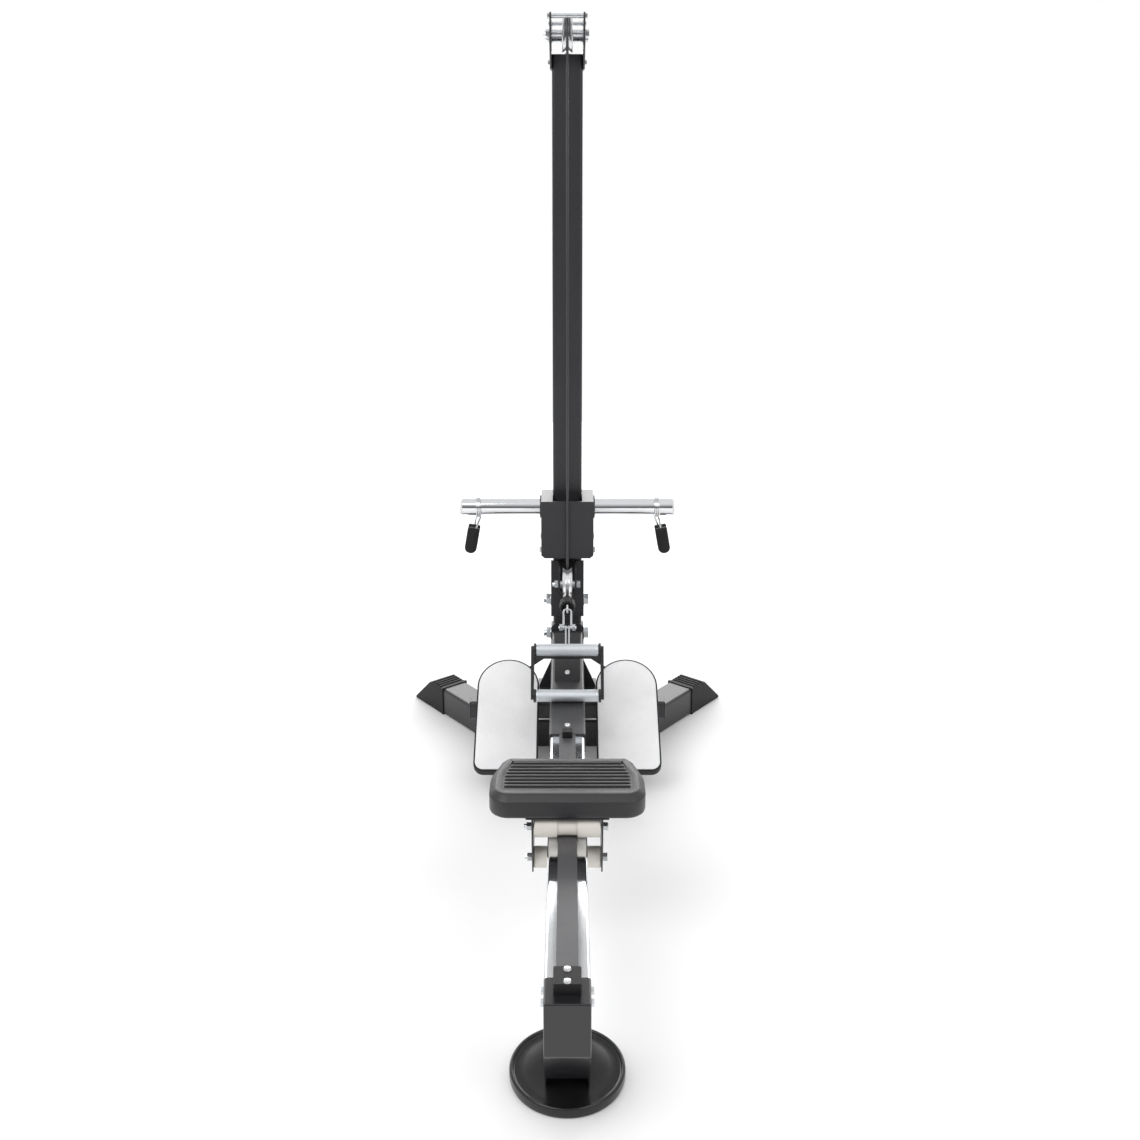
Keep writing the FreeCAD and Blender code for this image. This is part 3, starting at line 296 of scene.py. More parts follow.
def makeFinishGroup():
    # Uneven colour and roughness of a coat: slow clouds, fine specks, rubbed edges and settled dust.
    inputs = [("Colour", "NodeSocketColor", (0.5, 0.5, 0.5, 1)),
              ("Edge Colour", "NodeSocketColor", (0.8, 0.8, 0.8, 1)),
              ("Roughness", "NodeSocketFloat", 0.5), ("Variation", "NodeSocketFloat", 0.1),
              ("Edge Wear", "NodeSocketFloat", 0.2), ("Dust", "NodeSocketFloat", 0.05)]
    outputs = [("Colour", "NodeSocketColor"), ("Roughness", "NodeSocketFloat")]
    group, start, end = newGroup("coatVariation", inputs, outputs)
    link = group.links.new
    where = node(group, "ShaderNodeTexCoord")
    clouds = node(group, "ShaderNodeTexNoise", Scale=9.0, Detail=5.0, Roughness=0.6)
    specks = node(group, "ShaderNodeTexNoise", Scale=420.0, Detail=3.0, Roughness=0.7)
    for noise in (clouds, specks):
        link(where.outputs["Object"], noise.inputs["Vector"])
    geometry = node(group, "ShaderNodeNewGeometry")
    # an edge is where the rounded normal turns away from the true one
    rounded = node(group, "ShaderNodeBevel", samples=3)
    rounded.inputs["Radius"].default_value = 0.0012
    agree = node(group, "ShaderNodeVectorMath", operation="DOT_PRODUCT")
    link(rounded.outputs[0], agree.inputs[0])
    link(geometry.outputs["Normal"], agree.inputs[1])
    edge = rangeOf(group, agree.outputs["Value"], 1, 0, 0.80, 0.99)
    broken = node(group, "ShaderNodeMath", operation="MULTIPLY")
    link(edge, broken.inputs[0])
    link(rangeOf(group, specks.outputs["Fac"], 0, 1, 0.4, 0.6), broken.inputs[1])
    rubbed = node(group, "ShaderNodeMath", operation="MULTIPLY")
    link(broken.outputs[0], rubbed.inputs[0])
    link(start.outputs["Edge Wear"], rubbed.inputs[1])
    # clouds lighten or darken the colour by the variation
    shade = node(group, "ShaderNodeMath", operation="MULTIPLY")
    link(rangeOf(group, clouds.outputs["Fac"], -1, 1, 0.3, 0.7), shade.inputs[0])
    link(start.outputs["Variation"], shade.inputs[1])
    value = node(group, "ShaderNodeMath", operation="ADD")
    value.inputs[1].default_value = 1.0
    link(shade.outputs[0], value.inputs[0])
    tint = node(group, "ShaderNodeHueSaturation")
    link(start.outputs["Colour"], tint.inputs["Color"])
    link(value.outputs[0], tint.inputs["Value"])
    worn = mixColour(group, rubbed.outputs[0], tint.outputs[0], start.outputs["Edge Colour"])
    # dust lies on faces that look up
    normal = node(group, "ShaderNodeSeparateXYZ")
    link(geometry.outputs["Normal"], normal.inputs[0])
    lying = node(group, "ShaderNodeMath", operation="MULTIPLY")
    link(rangeOf(group, normal.outputs[2], 0, 1, 0.6, 1.0), lying.inputs[0])
    link(start.outputs["Dust"], lying.inputs[1])
    dusted = node(group, "ShaderNodeMath", operation="MULTIPLY")
    link(lying.outputs[0], dusted.inputs[0])
    link(rangeOf(group, clouds.outputs["Fac"], 0.4, 1, 0.35, 0.65), dusted.inputs[1])
    link(mixColour(group, dusted.outputs[0], worn, (0.55, 0.54, 0.52, 1)), end.inputs["Colour"])
    rough = node(group, "ShaderNodeMath", operation="MULTIPLY_ADD")
    link(rangeOf(group, specks.outputs["Fac"], -0.5, 0.5, 0.3, 0.7), rough.inputs[0])
    link(start.outputs["Variation"], rough.inputs[1])
    link(start.outputs["Roughness"], rough.inputs[2])
    link(rough.outputs[0], end.inputs["Roughness"])
    return group


def makeGrainGroup():
    # Fine relief: orange peel, stipple cells and brushed lines, each with its own strength.
    inputs = [("Peel", "NodeSocketFloat", 0.0), ("Peel Scale", "NodeSocketFloat", 700.0),
              ("Cells", "NodeSocketFloat", 0.0), ("Cell Scale", "NodeSocketFloat", 500.0),
              ("Brush", "NodeSocketFloat", 0.0), ("Stretch", "NodeSocketVector", (1.0, 1.0, 1.0))]
    group, start, end = newGroup("surfaceGrain", inputs, [("Height", "NodeSocketFloat")])
    link = group.links.new
    where = node(group, "ShaderNodeTexCoord")
    peel = node(group, "ShaderNodeTexNoise", Detail=2.0)
    cells = node(group, "ShaderNodeTexVoronoi", feature="SMOOTH_F1")
    cells.inputs["Smoothness"].default_value = 0.35
    link(where.outputs["Object"], peel.inputs["Vector"])
    link(where.outputs["Object"], cells.inputs["Vector"])
    link(start.outputs["Peel Scale"], peel.inputs["Scale"])
    link(start.outputs["Cell Scale"], cells.inputs["Scale"])
    stretch = node(group, "ShaderNodeVectorMath", operation="MULTIPLY")
    link(where.outputs["Object"], stretch.inputs[0])
    link(start.outputs["Stretch"], stretch.inputs[1])
    lines = node(group, "ShaderNodeTexNoise", Scale=1.0, Detail=4.0, Roughness=0.65)
    link(stretch.outputs[0], lines.inputs["Vector"])
    total = None
    for source, strength in ((peel.outputs["Fac"], "Peel"), (cells.outputs["Distance"], "Cells"),
                             (lines.outputs["Fac"], "Brush")):
        part = node(group, "ShaderNodeMath", operation="MULTIPLY")
        link(source, part.inputs[0])
        link(start.outputs[strength], part.inputs[1])
        if total is None:
            total = part.outputs[0]
        else:
            added = node(group, "ShaderNodeMath", operation="ADD")
            link(total, added.inputs[0])
            link(part.outputs[0], added.inputs[1])
            total = added.outputs[0]
    link(total, end.inputs["Height"])
    return group


coatVariation = makeFinishGroup()
surfaceGrain = makeGrainGroup()


def finish(name, colour, roughness, metallic=0.0, edgeColour=None, variation=0.08, wear=0.15,
           dust=0.03, peel=0.0, peelScale=700.0, cells=0.0, cellScale=500.0, brush=0.0,
           stretch=(1, 1, 1), depth=0.0002, coat=0.0, coatRoughness=0.2, specular=0.5):
    # A Principled material fed by the two groups; depth is the relief in metres at full height.
    material = bpy.data.materials.new(name)
    material.use_nodes = True
    tree = material.node_tree
    shader = tree.nodes["Principled BSDF"]
    shader.inputs["Metallic"].default_value = metallic
    shader.inputs["Specular IOR Level"].default_value = specular
    shader.inputs["Coat Weight"].default_value = coat
    shader.inputs["Coat Roughness"].default_value = coatRoughness
    coatNode = node(tree, "ShaderNodeGroup", node_tree=coatVariation)
    values = {"Colour": (*colour, 1), "Edge Colour": (*(edgeColour or colour), 1),
              "Roughness": roughness, "Variation": variation, "Edge Wear": wear, "Dust": dust}
    for key, value in values.items():
        coatNode.inputs[key].default_value = value
    grain = node(tree, "ShaderNodeGroup", node_tree=surfaceGrain)
    values = {"Peel": peel, "Peel Scale": peelScale, "Cells": cells, "Cell Scale": cellScale,
              "Brush": brush, "Stretch": stretch}
    for key, value in values.items():
        grain.inputs[key].default_value = value
    bump = node(tree, "ShaderNodeBump", Strength=1.0, Distance=depth)
    tree.links.new(grain.outputs["Height"], bump.inputs["Height"])
    tree.links.new(coatNode.outputs["Colour"], shader.inputs["Base Color"])
    tree.links.new(coatNode.outputs["Roughness"], shader.inputs["Roughness"])
    tree.links.new(bump.outputs[0], shader.inputs["Normal"])
    return material


def wear(piece, material, slotName=None):
    piece.data.materials.clear()
    piece.data.materials.append(material)
    return piece


finishes = {
    "charcoal_powder_coat": finish("charcoalPowderCoat", (0.024, 0.024, 0.027), 0.40,
                                   edgeColour=(0.16, 0.16, 0.17), variation=0.08, wear=0.5, dust=0.02,
                                   peel=1.0, peelScale=650, depth=0.00002, coat=0.15,
                                   coatRoughness=0.35),
    "black_rubber": finish("blackRubber", (0.009, 0.009, 0.010), 0.58, specular=0.35,
                           edgeColour=(0.06, 0.06, 0.06), dust=0.02, cells=0.7, cellScale=1400,
                           peel=0.5, peelScale=500, depth=0.00005),
    "rail_chrome": finish("railChrome", (0.86, 0.87, 0.89), 0.09, metallic=1.0, variation=0.05, wear=0,
                          dust=0.02, brush=0.3, stretch=(900, 2, 900), depth=0.00002),
    "grey_strip": finish("greyStrip", (0.085, 0.083, 0.088), 0.30, edgeColour=(0.3, 0.3, 0.3),
                         brush=0.5, stretch=(1200, 6, 1200), depth=0.00005, dust=0.03),
    "black_plastic": finish("blackPlastic", (0.008, 0.008, 0.009), 0.24, edgeColour=(0.06, 0.06, 0.06),
                            dust=0.01, variation=0.05, cells=0.5, cellScale=900, depth=0.00002),
    "white_zinc": finish("whiteZinc", (0.86, 0.87, 0.88), 0.28, metallic=0.85, peel=0.4, peelScale=600,
                         depth=0.00006),
    "zinc": finish("brightZinc", (0.72, 0.74, 0.76), 0.27, metallic=1.0, edgeColour=(0.9, 0.9, 0.9),
                   variation=0.16, peel=0.5, peelScale=350, depth=0.00006),
    "pale_footplate": finish("paleFootplate", (0.90, 0.90, 0.91), 0.55, edgeColour=(0.6, 0.6, 0.6),
                             variation=0.05, wear=0, dust=0, cells=1.0, cellScale=420, peel=0.5,
                             peelScale=900, depth=0.0006),
    "pulley_aluminium": finish("pulleyAluminium", (0.84, 0.85, 0.86), 0.24, metallic=0.9,
                               variation=0.08, brush=0.3, stretch=(1400, 12, 12), depth=0.00004),
    "cable_jacket": finish("cableJacket", (0.045, 0.045, 0.05), 0.4, variation=0.1, wear=0, dust=0.02,
                           peel=0.4, peelScale=900, depth=0.0001),
    "sleeve_chrome": finish("sleeveChrome", (0.86, 0.87, 0.89), 0.10, metallic=1.0, variation=0.05,
                            wear=0, dust=0.01, brush=0.3, stretch=(3, 900, 900), depth=0.00002),
    "white_nylon": finish("whiteNylon", (0.80, 0.80, 0.79), 0.45, variation=0.05, wear=0, dust=0.03,
                          peel=0.6, peelScale=260, depth=0.00012),
    # beige_nylon: white nylon darkened and warmed to beige, as painted shade on the rollers' shadowed
    # undersides
    "beige_nylon": finish("nylonPaintedShade", (0.74, 0.71, 0.65), 0.48, variation=0.07, wear=0, dust=0.05,
                          peel=0.6, peelScale=260, depth=0.00012),
    "collar_spring": finish("collarSpring", (0.78, 0.79, 0.80), 0.16, metallic=1.0, variation=0.1,
                            wear=0, peel=0.3, peelScale=500, depth=0.00004),
    "handle_black": finish("handleBlack", (0.016, 0.016, 0.018), 0.36, edgeColour=(0.12, 0.12, 0.12),
                           wear=0.5, peel=0.8, peelScale=800, depth=0.0001),
    "satin_aluminium": finish("satinAluminium", (0.66, 0.69, 0.72), 0.46, metallic=0.8, variation=0.06,
                              wear=0, brush=0.6, stretch=(14, 1500, 1500), depth=0.00006),
    "seat_foam": finish("seatFoam", (0.014, 0.014, 0.016), 0.40, edgeColour=(0.09, 0.09, 0.09),
                        variation=0.12, wear=0.35, dust=0.02, cells=0.9, cellScale=800, peel=0.5,
                        peelScale=300, depth=0.00016, specular=0.6),
}
glossyCoat = finish("glossyCoat", (0.014, 0.014, 0.016), 0.22, edgeColour=(0.12, 0.12, 0.12),
                    variation=0.05, wear=0.3, dust=0.0, peel=1.0, peelScale=650, depth=0.00001,
                    coat=0.3, coatRoughness=0.12)
slotOf = {row["node"]: row["material_slot"] for row in frame["record"]["subparts"]}
for name, piece in nodes.items():
    piece.data.materials.clear()
    piece.data.materials.append(finishes[slotOf[name]])
nodes["front_post"].data.materials[0] = glossyCoat
# how far each node's sharp edges are rounded
sharp = {"base_frame": 0.0015, "mast_foot": 0.0012, "front_post": 0.004, "head_plates": 0.0012,
         "pulley_bracket": 0.0012, "boom_yoke": 0.0014, "handle_rest": 0.001,
         "footplate_brackets": 0.001, "carriage_frame": 0.0014, "seat_bracket": 0.0008,
         "mast_bolts": 0.0012, "pulley_bolts": 0.001, "seat_bolts": 0.0008, "post_bolts": 0.0008,
         "shackle_pin": 0.001, "carriage_pins": 0.0008}
for name, width in sharp.items():
    bevel(nodes[name], width, 2, weld=True)
print("frame finished")


# seat

seatSettings = {"nearRadius": 0.040, "farRadius": 0.022, "wall": 0.0375, "bevelIn": 0.0150, "panelIn": 0.0255,
                "panelDeep": 0.0022, "ribs": 8, "ribWide": 0.0074, "ribTall": 0.0034, "ribPitch": 0.0134,
                "nearMargin": 0.0475}


def makeSeat():
    # A moulded pad: an outline drawn in over a bevelled shoulder to a sunk panel with raised bars.
    # Each bar is a flattened half wave in section, drawn along X between the panel's sides.
    s = seatSettings
    low, high = corners("seat")
    wide = (high[0] - low[0]) / 2
    bendY = low[1] + (high[1] - low[1]) * 0.55
    loop = roundedLoop([(-wide, low[1]), (wide, low[1]), (wide, bendY), (wide - 0.024, high[1]),
                        (-wide + 0.024, high[1]), (-wide, bendY)],
                       [s["nearRadius"], s["nearRadius"], 0.09, s["farRadius"], s["farRadius"], 0.09], 14)
    base, top = low[2], high[2] - 0.0012
    edge = base + s["wall"]
    shoulder, panel = s["bevelIn"], s["panelIn"]
    sunk = top - s["panelDeep"]
    rings = [(0.010, base), (0.004, base + 0.0006), (0.0012, base + 0.0028), (0, base + 0.0075),
             (0, edge - 0.002), (0.0003, edge - 0.0006), (0.0012, edge + 0.0004),
             (0.0030, edge + 0.0018), (shoulder - 0.003, top - 0.0016),
             (shoulder - 0.001, top - 0.0004), (shoulder + 0.001, top), (panel - 0.0012, top),
             (panel - 0.0003, top - 0.0004), (panel + 0.0005, sunk + 0.0003),
             (panel + 0.0015, sunk)]
    pad = shell("seatPad", loop, rings)
    bars = []
    for index in range(s["ribs"]):
        y = low[1] + s["nearMargin"] + index * s["ribPitch"]
        towardsFar = np.clip((y - bendY) / (high[1] - bendY), 0, 1)
        reach = wide - s["panelIn"] - 0.0035 - 0.024 * towardsFar
        u = np.linspace(-1, 1, 80)[:, None]
        v = np.linspace(0, math.pi, 15)[None, :]
        end = np.sqrt(np.clip(1 - ((np.abs(u) - 0.975) / 0.025).clip(0) ** 2, 0, 1))
        x = reach * u + 0 * v
        across = -np.cos(v) * s["ribWide"] / 2 * (0.35 + 0.65 * end)
        tall = np.sin(v) ** 0.45 * s["ribTall"] * end - 0.0004 + 0 * u
        points = np.stack([x, y + across, sunk + tall], axis=-1)
        bars.append(gridPiece(f"bar{index}", points))
    piece = join("seatCushion", [pad] + bars)
    piece.data.polygons.foreach_set("use_smooth", np.ones(len(piece.data.polygons), bool))
    wear(piece, finishes["seat_foam"], "seat_foam")
    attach(piece, "seat_carriage")
    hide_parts("seat")


makeSeat()
print("seat made")


# foot plates

plateSettings = {"tilt": math.radians(33), "long": 0.332, "thick": 0.027,
                 "cornerRadius": 0.026, "rim": 0.0035}


def makeFootplate(word):
    # A thick dark tray with a pale textured face let into it: two offset shells of one outline.
    s = plateSettings
    name = f"footplate_{word}"
    low, high = corners(name)
    wide = (high[0] - low[0]) / 2
    angles = np.linspace(0, math.pi, 40)
    top = np.column_stack([wide * np.cos(angles), s["long"] - wide + wide * np.sin(angles)])
    foot = roundedLoop([(-wide, 0), (wide, 0), (wide, 0.2), (-wide, 0.2)],
                       [s["cornerRadius"]] * 2 + [0.001] * 2, 10)
    loop = np.vstack([foot[:20], top])
    t = s["thick"]
    tray = shell(f"footTray_{word}", loop, [
        (0.004, -t), (0.001, -t + 0.0012), (0, -t + 0.004), (0, -0.003), (0.0006, -0.0011), (0.0018, -0.0002),
        (s["rim"] - 0.0004, -0.0002), (s["rim"], -0.0014)])
    face = shell(f"footFace_{word}", loop, [
        (s["rim"] + 0.0004, -0.004), (s["rim"] + 0.0004, -0.0011), (s["rim"] + 0.0009, -0.0004),
        (s["rim"] + 0.002, 0.0)])
    middleX = (low[0] + high[0]) / 2
    # the plate's lower top edge, above the box's lowest corner by the tilted thickness
    edgeHeight = low[2] + t * math.cos(s["tilt"])
    spot = Matrix.Translation((middleX, low[1], edgeHeight)) @ Matrix.Rotation(s["tilt"], 4, "X")
    for piece, finishName in ((tray, "black_rubber"), (face, "pale_footplate")):
        place(piece, spot)
        wear(piece, finishes[finishName], finishName)
        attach(piece, "frame")
    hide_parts(name)


for word in ("left", "right"):
    makeFootplate(word)
print("foot plates made")


# leg caps, tube plugs and the round foot

capSettings = {"angle": math.radians(39), "wide": 0.086, "tall": 0.083, "top": 0.065, "run": 0.148, "ribs": 5,
               "ribTall": 0.0036, "ribWide": 0.0066}


def makeCap(word, hand):
    # A sloped rubber boot, its side outline carried across, with raised bars over its top.
    s = capSettings
    low, high = corners(f"leg_cap_{word}")
    top = s["tall"] - s["ribTall"]
    outline = [(0, 0), (s["run"], 0), (s["run"], 0.006), (s["top"] + 0.003, top), (0, top)]
    block = prism(f"capBlock{word}", outline, -s["wide"] / 2, s["wide"] / 2)
    rounding = block.modifiers.new("bevel", "BEVEL")
    rounding.width = 0.0045
    rounding.segments = 4
    rounding.limit_method = "ANGLE"
    graph = bpy.context.evaluated_depsgraph_get()
    solid = bpy.data.meshes.new_from_object(block.evaluated_get(graph))
    bpy.data.objects.remove(block)
    block = bpy.data.objects.new(f"capBlock{word}", solid)
    bars = []
    pitch = (s["top"] - 0.004) / s["ribs"]
    for index in range(s["ribs"]):
        u = np.linspace(-1, 1, 40)[:, None]
        v = np.linspace(0, math.pi, 11)[None, :]
        end = np.sqrt(np.clip(1 - ((np.abs(u) - 0.95) / 0.05).clip(0) ** 2, 0, 1))
        along = 0.002 + pitch * (index + 0.5) - np.cos(v) * s["ribWide"] / 2 + 0 * u
        tall = top - 0.001 + np.sin(v) ** 0.5 * (s["ribTall"] + 0.001) * end
        across = (s["wide"] / 2 - 0.003) * u + 0 * v
        bars.append(gridPiece(f"capBar{index}", np.stack([across, along, tall], axis=-1)))
    lipTop = s["tall"] - 0.0005
    lipSide = s["wide"] / 2 + 0.0002
    lip = prism("capLip", [(-0.0005, 0), (0.006, 0), (0.006, lipTop), (-0.0005, lipTop)],
                -lipSide, lipSide)
    piece = join(f"legCap_{word}", [block, lip] + bars)
    # the joint's middle: the box's inner end, less the boot's half width across the slant
    sine, cosine = math.sin(s["angle"]), math.cos(s["angle"])
    outerX = high[0] if hand > 0 else -low[0]
    jointX = outerX - s["run"] * sine - s["wide"] / 2 * cosine
    jointY = low[1] + s["wide"] / 2 * sine
    turn = Matrix.Rotation(-hand * s["angle"], 4, "Z")
    place(piece, Matrix.Translation((hand * jointX, jointY, 0)) @ turn)
    piece.data.polygons.foreach_set("use_smooth", np.zeros(len(piece.data.polygons), bool))
    wear(piece, finishes["black_rubber"], "black_rubber")
    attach(piece, "frame")
    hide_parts(f"leg_cap_{word}")


for word, hand in (("left", -1), ("right", 1)):
    makeCap(word, hand)

discSettings = {"roll": 0.0036, "rimSteps": 12}


def makeDisc():
    # The round foot: a shallow dish with a rolled rim, turned about its own axis.
    s = discSettings
    low, high = corners("foot_disc")
    radius, tall = (high[0] - low[0]) / 2, high[2] - low[2]
    centre = (low + high) / 2
    rim = [(radius - 0.005, 0), (radius - 0.0012, 0.0008), (radius, 0.0040), (radius, tall - 0.0045)]
    turn = np.linspace(0, math.pi, s["rimSteps"])
    roll = s["roll"]
    rim += [(radius - roll + roll * math.cos(a), tall - roll + roll * math.sin(a)) for a in turn]
    dish = [(radius - 0.0080, tall - 0.0046), (radius - 0.0105, tall - 0.0052),
            (radius * 0.75, tall - 0.0040), (radius * 0.5, tall - 0.0028), (0, tall - 0.0024)]
    piece = lathe("roundFoot", [(0, 0)] + rim + dish, (centre[0], centre[1], low[2]), (0, 0, 1), 160)
    wear(piece, finishes["black_plastic"], "black_plastic")
    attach(piece, "frame")
    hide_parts("foot_disc")


makeDisc()


def makePlug(name, centre, wide, tall, normal, body):
    # A moulded insert that closes a tube's end: a rounded outline with a shallow step.
    x, y = wide / 2, tall / 2
    loop = roundedLoop([(-x, -y), (x, -y), (x, y), (-x, y)], [min(wide, tall) * 0.12] * 4, 8)
    piece = shell(name, loop, [(0.003, -0.012), (0.003, 0), (0.0002, 0.0001), (0, 0.0012), (0.0012, 0.0026),
                               (0.004, 0.0030), (0.008, 0.0030), (0.0095, 0.0020)])
    turn = Vector((0, 0, 1)).rotation_difference(Vector(normal)).to_matrix().to_4x4()
    place(piece, Matrix.Translation(centre) @ turn)
    wear(piece, finishes["black_plastic"], "black_plastic")
    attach(piece, body)


beamLow, beamHigh = corners("footplate_beam")
beamMiddle = (beamLow + beamHigh) / 2
for word, x, way in (("left", beamLow[0], -1), ("right", beamHigh[0], 1)):
    makePlug(f"beamPlug_{word}", (x, beamMiddle[1], beamMiddle[2]), 0.050, 0.040, (way, 0, 0), "frame")
baseLow, baseHigh = corners("base_frame")
makePlug("spinePlug", (0, baseHigh[1], 0.040), 0.080, 0.080, (0, 1, 0), "frame")
print("feet and plugs made")


# cable

cableSettings = {"radius": 0.00325, "groove": 0.043, "exitAngle": math.radians(8), "pullLong": 0.038,
                 "lift": 0.95}


def arcPoints(centre, radius, start, end, steps=28):
    angle = np.radians(np.linspace(start, end, steps))
    y = centre[1] + radius * np.cos(angle)
    z = centre[2] + radius * np.sin(angle)
    return np.column_stack([0 * angle, y, z])


def makeCable():
    # The jacketed rope: arcs in the pulleys' grooves joined by straight runs, a round section along them.
    s = cableSettings
    rear, front, low = (middle(name) for name in ("pulley_top_rear", "pulley_top_front", "pulley_low"))
    exitDegrees = math.degrees(s["exitAngle"])
    over = [arcPoints(rear, s["groove"], 0, 90), arcPoints(front, s["groove"], 90, 180),
            arcPoints(low, s["groove"], 0, -90 - exitDegrees)]
    main = tube("cableMain", np.vstack(over), s["radius"], 20)
    bottom = corners("cable_rear_run")[0][2]
    start = over[0][0]
    rearRun = tube("cableRear", np.linspace(start, (0, start[1], bottom), 40), s["radius"], 20)
    exitPoint = over[2][-1]
    way = np.array([0, -math.cos(s["exitAngle"]), math.sin(s["exitAngle"])])
    pullEnd = exitPoint + way * s["pullLong"]
    pull = tube("cablePull", np.linspace(exitPoint, pullEnd, 24), s["radius"], 20)
    for piece, stands in ((main, "cable"), (rearRun, "cable_rear_run"), (pull, "cable_pull_run")):
        wear(piece, finishes["cable_jacket"], "cable_jacket")
        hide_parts(stands)
    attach(main, "frame")
    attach(rearRun, "carriage")
    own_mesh(rearRun)
    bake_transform(pull)


makeCable()
print("cable made")


stopperSettings = {"long": 0.060, "flutes": 14, "fluteDeep": 0.0016, "eye": 0.0095, "eyeWire": 0.0026}


def makeStopper():
    # The rubber stopper at the cable's end.
    # Radius round it = R - depth (1 - cos(n a)) / 2, with n flutes in all.
    s = stopperSettings
    low, high = corners("cable_stopper")
    radius = (high[0] - low[0]) / 2
    slope = cableSettings["exitAngle"]
    way = np.array([0, -math.cos(slope), math.sin(slope)])
    pulley = middle("pulley_low")
    exitAngle = -math.pi / 2 - slope
    outward = np.array([0, math.cos(exitAngle), math.sin(exitAngle)])
    start = pulley + cableSettings["groove"] * outward + way * cableSettings["pullLong"]
    angle = np.linspace(0, 2 * math.pi, 224, endpoint=False)
    fluted = radius - s["fluteDeep"] * (1 - np.cos(s["flutes"] * angle)) / 2
    loop = np.column_stack([fluted * np.cos(angle), fluted * np.sin(angle)])
    barrel = shell("stopperBarrel", loop, [
        (0.0150, 0.0008), (0.0128, 0), (0.0040, 0), (0.0016, 0.0010), (0.0004, 0.0030), (0, 0.006),
        (0, s["long"] - 0.006), (0.0004, s["long"] - 0.0030), (0.0016, s["long"] - 0.0010),
        (0.0040, s["long"]), (0.0128, s["long"]), (0.0150, s["long"] - 0.0008)])
    turn = Vector((0, 0, 1)).rotation_difference(Vector(way)).to_matrix().to_4x4()
    place(barrel, Matrix.Translation(start) @ turn)
    around = np.linspace(0, 2 * math.pi, 48, endpoint=False)[:, None]
    upwards = np.array([0, way[2], -way[1]])
    centre = start + way * (s["long"] + 0.007)
    ring = centre + s["eye"] * (np.cos(around) * way + np.sin(around) * upwards)
    eye = tube("stopperEye", ring, s["eyeWire"], 14, closed=True)
    for piece, finishName in ((barrel, "black_rubber"), (eye, "zinc")):
        wear(piece, finishes[finishName], finishName)
        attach(piece, "cable_end")
    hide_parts("cable_stopper")


makeStopper()

gripSettings = {"knurls": 64, "knurlDeep": 0.00018, "end": 0.0012}


def makeGrip(word):
    # A hand-grip tube: fine ridges round it, each a cosine of the angle, between two plain turned ends.
    s = gripSettings
    name = f"handle_grip_{word}"
    low, high = corners(name)
    centre = (low + high) / 2
    radius, half = (high[2] - low[2]) / 2, (high[0] - low[0]) / 2
    along = np.concatenate([[-half, -half + 0.0004, -half + s["end"], -half + 0.005],
                            np.linspace(-half + 0.0056, half - 0.0056, 40),
                            [half - 0.005, half - s["end"], half - 0.0004, half]])
    inset = np.concatenate([[0.0012, 0.0004, 0, 0], np.zeros(40), [0, 0, 0.0004, 0.0012]])
    ridge = np.concatenate([np.zeros(4), np.ones(40), np.zeros(4)])
    angle = np.linspace(0, 2 * math.pi, 256, endpoint=False)
    ring = radius - inset[:, None] - s["knurlDeep"] * ridge[:, None] * (1 - np.cos(s["knurls"] * angle)) / 2
    x = np.repeat(along[:, None], 256, axis=1)
    points = np.stack([x, ring * np.cos(angle), ring * np.sin(angle)], axis=-1)
    ends = [np.tile([[x, 0, 0]], (256, 1))[None] for x in (-half, half)]
    points = np.concatenate([ends[0], points, ends[1]]) + centre
    piece = gridPiece(f"grip_{word}", points, wrapCols=True)
    wear(piece, finishes["satin_aluminium"], "satin_aluminium")
    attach(piece, "handle")
    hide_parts(name)


for word in ("upper", "lower"):
    makeGrip(word)
print("stopper and grips made")


# spring collars

collarSettings = {"wire": 0.0026, "coils": 3, "tilt": math.radians(10), "padWide": 0.034, "padThick": 0.0115,
                  "padLong": 0.076, "legDrop": 0.067}


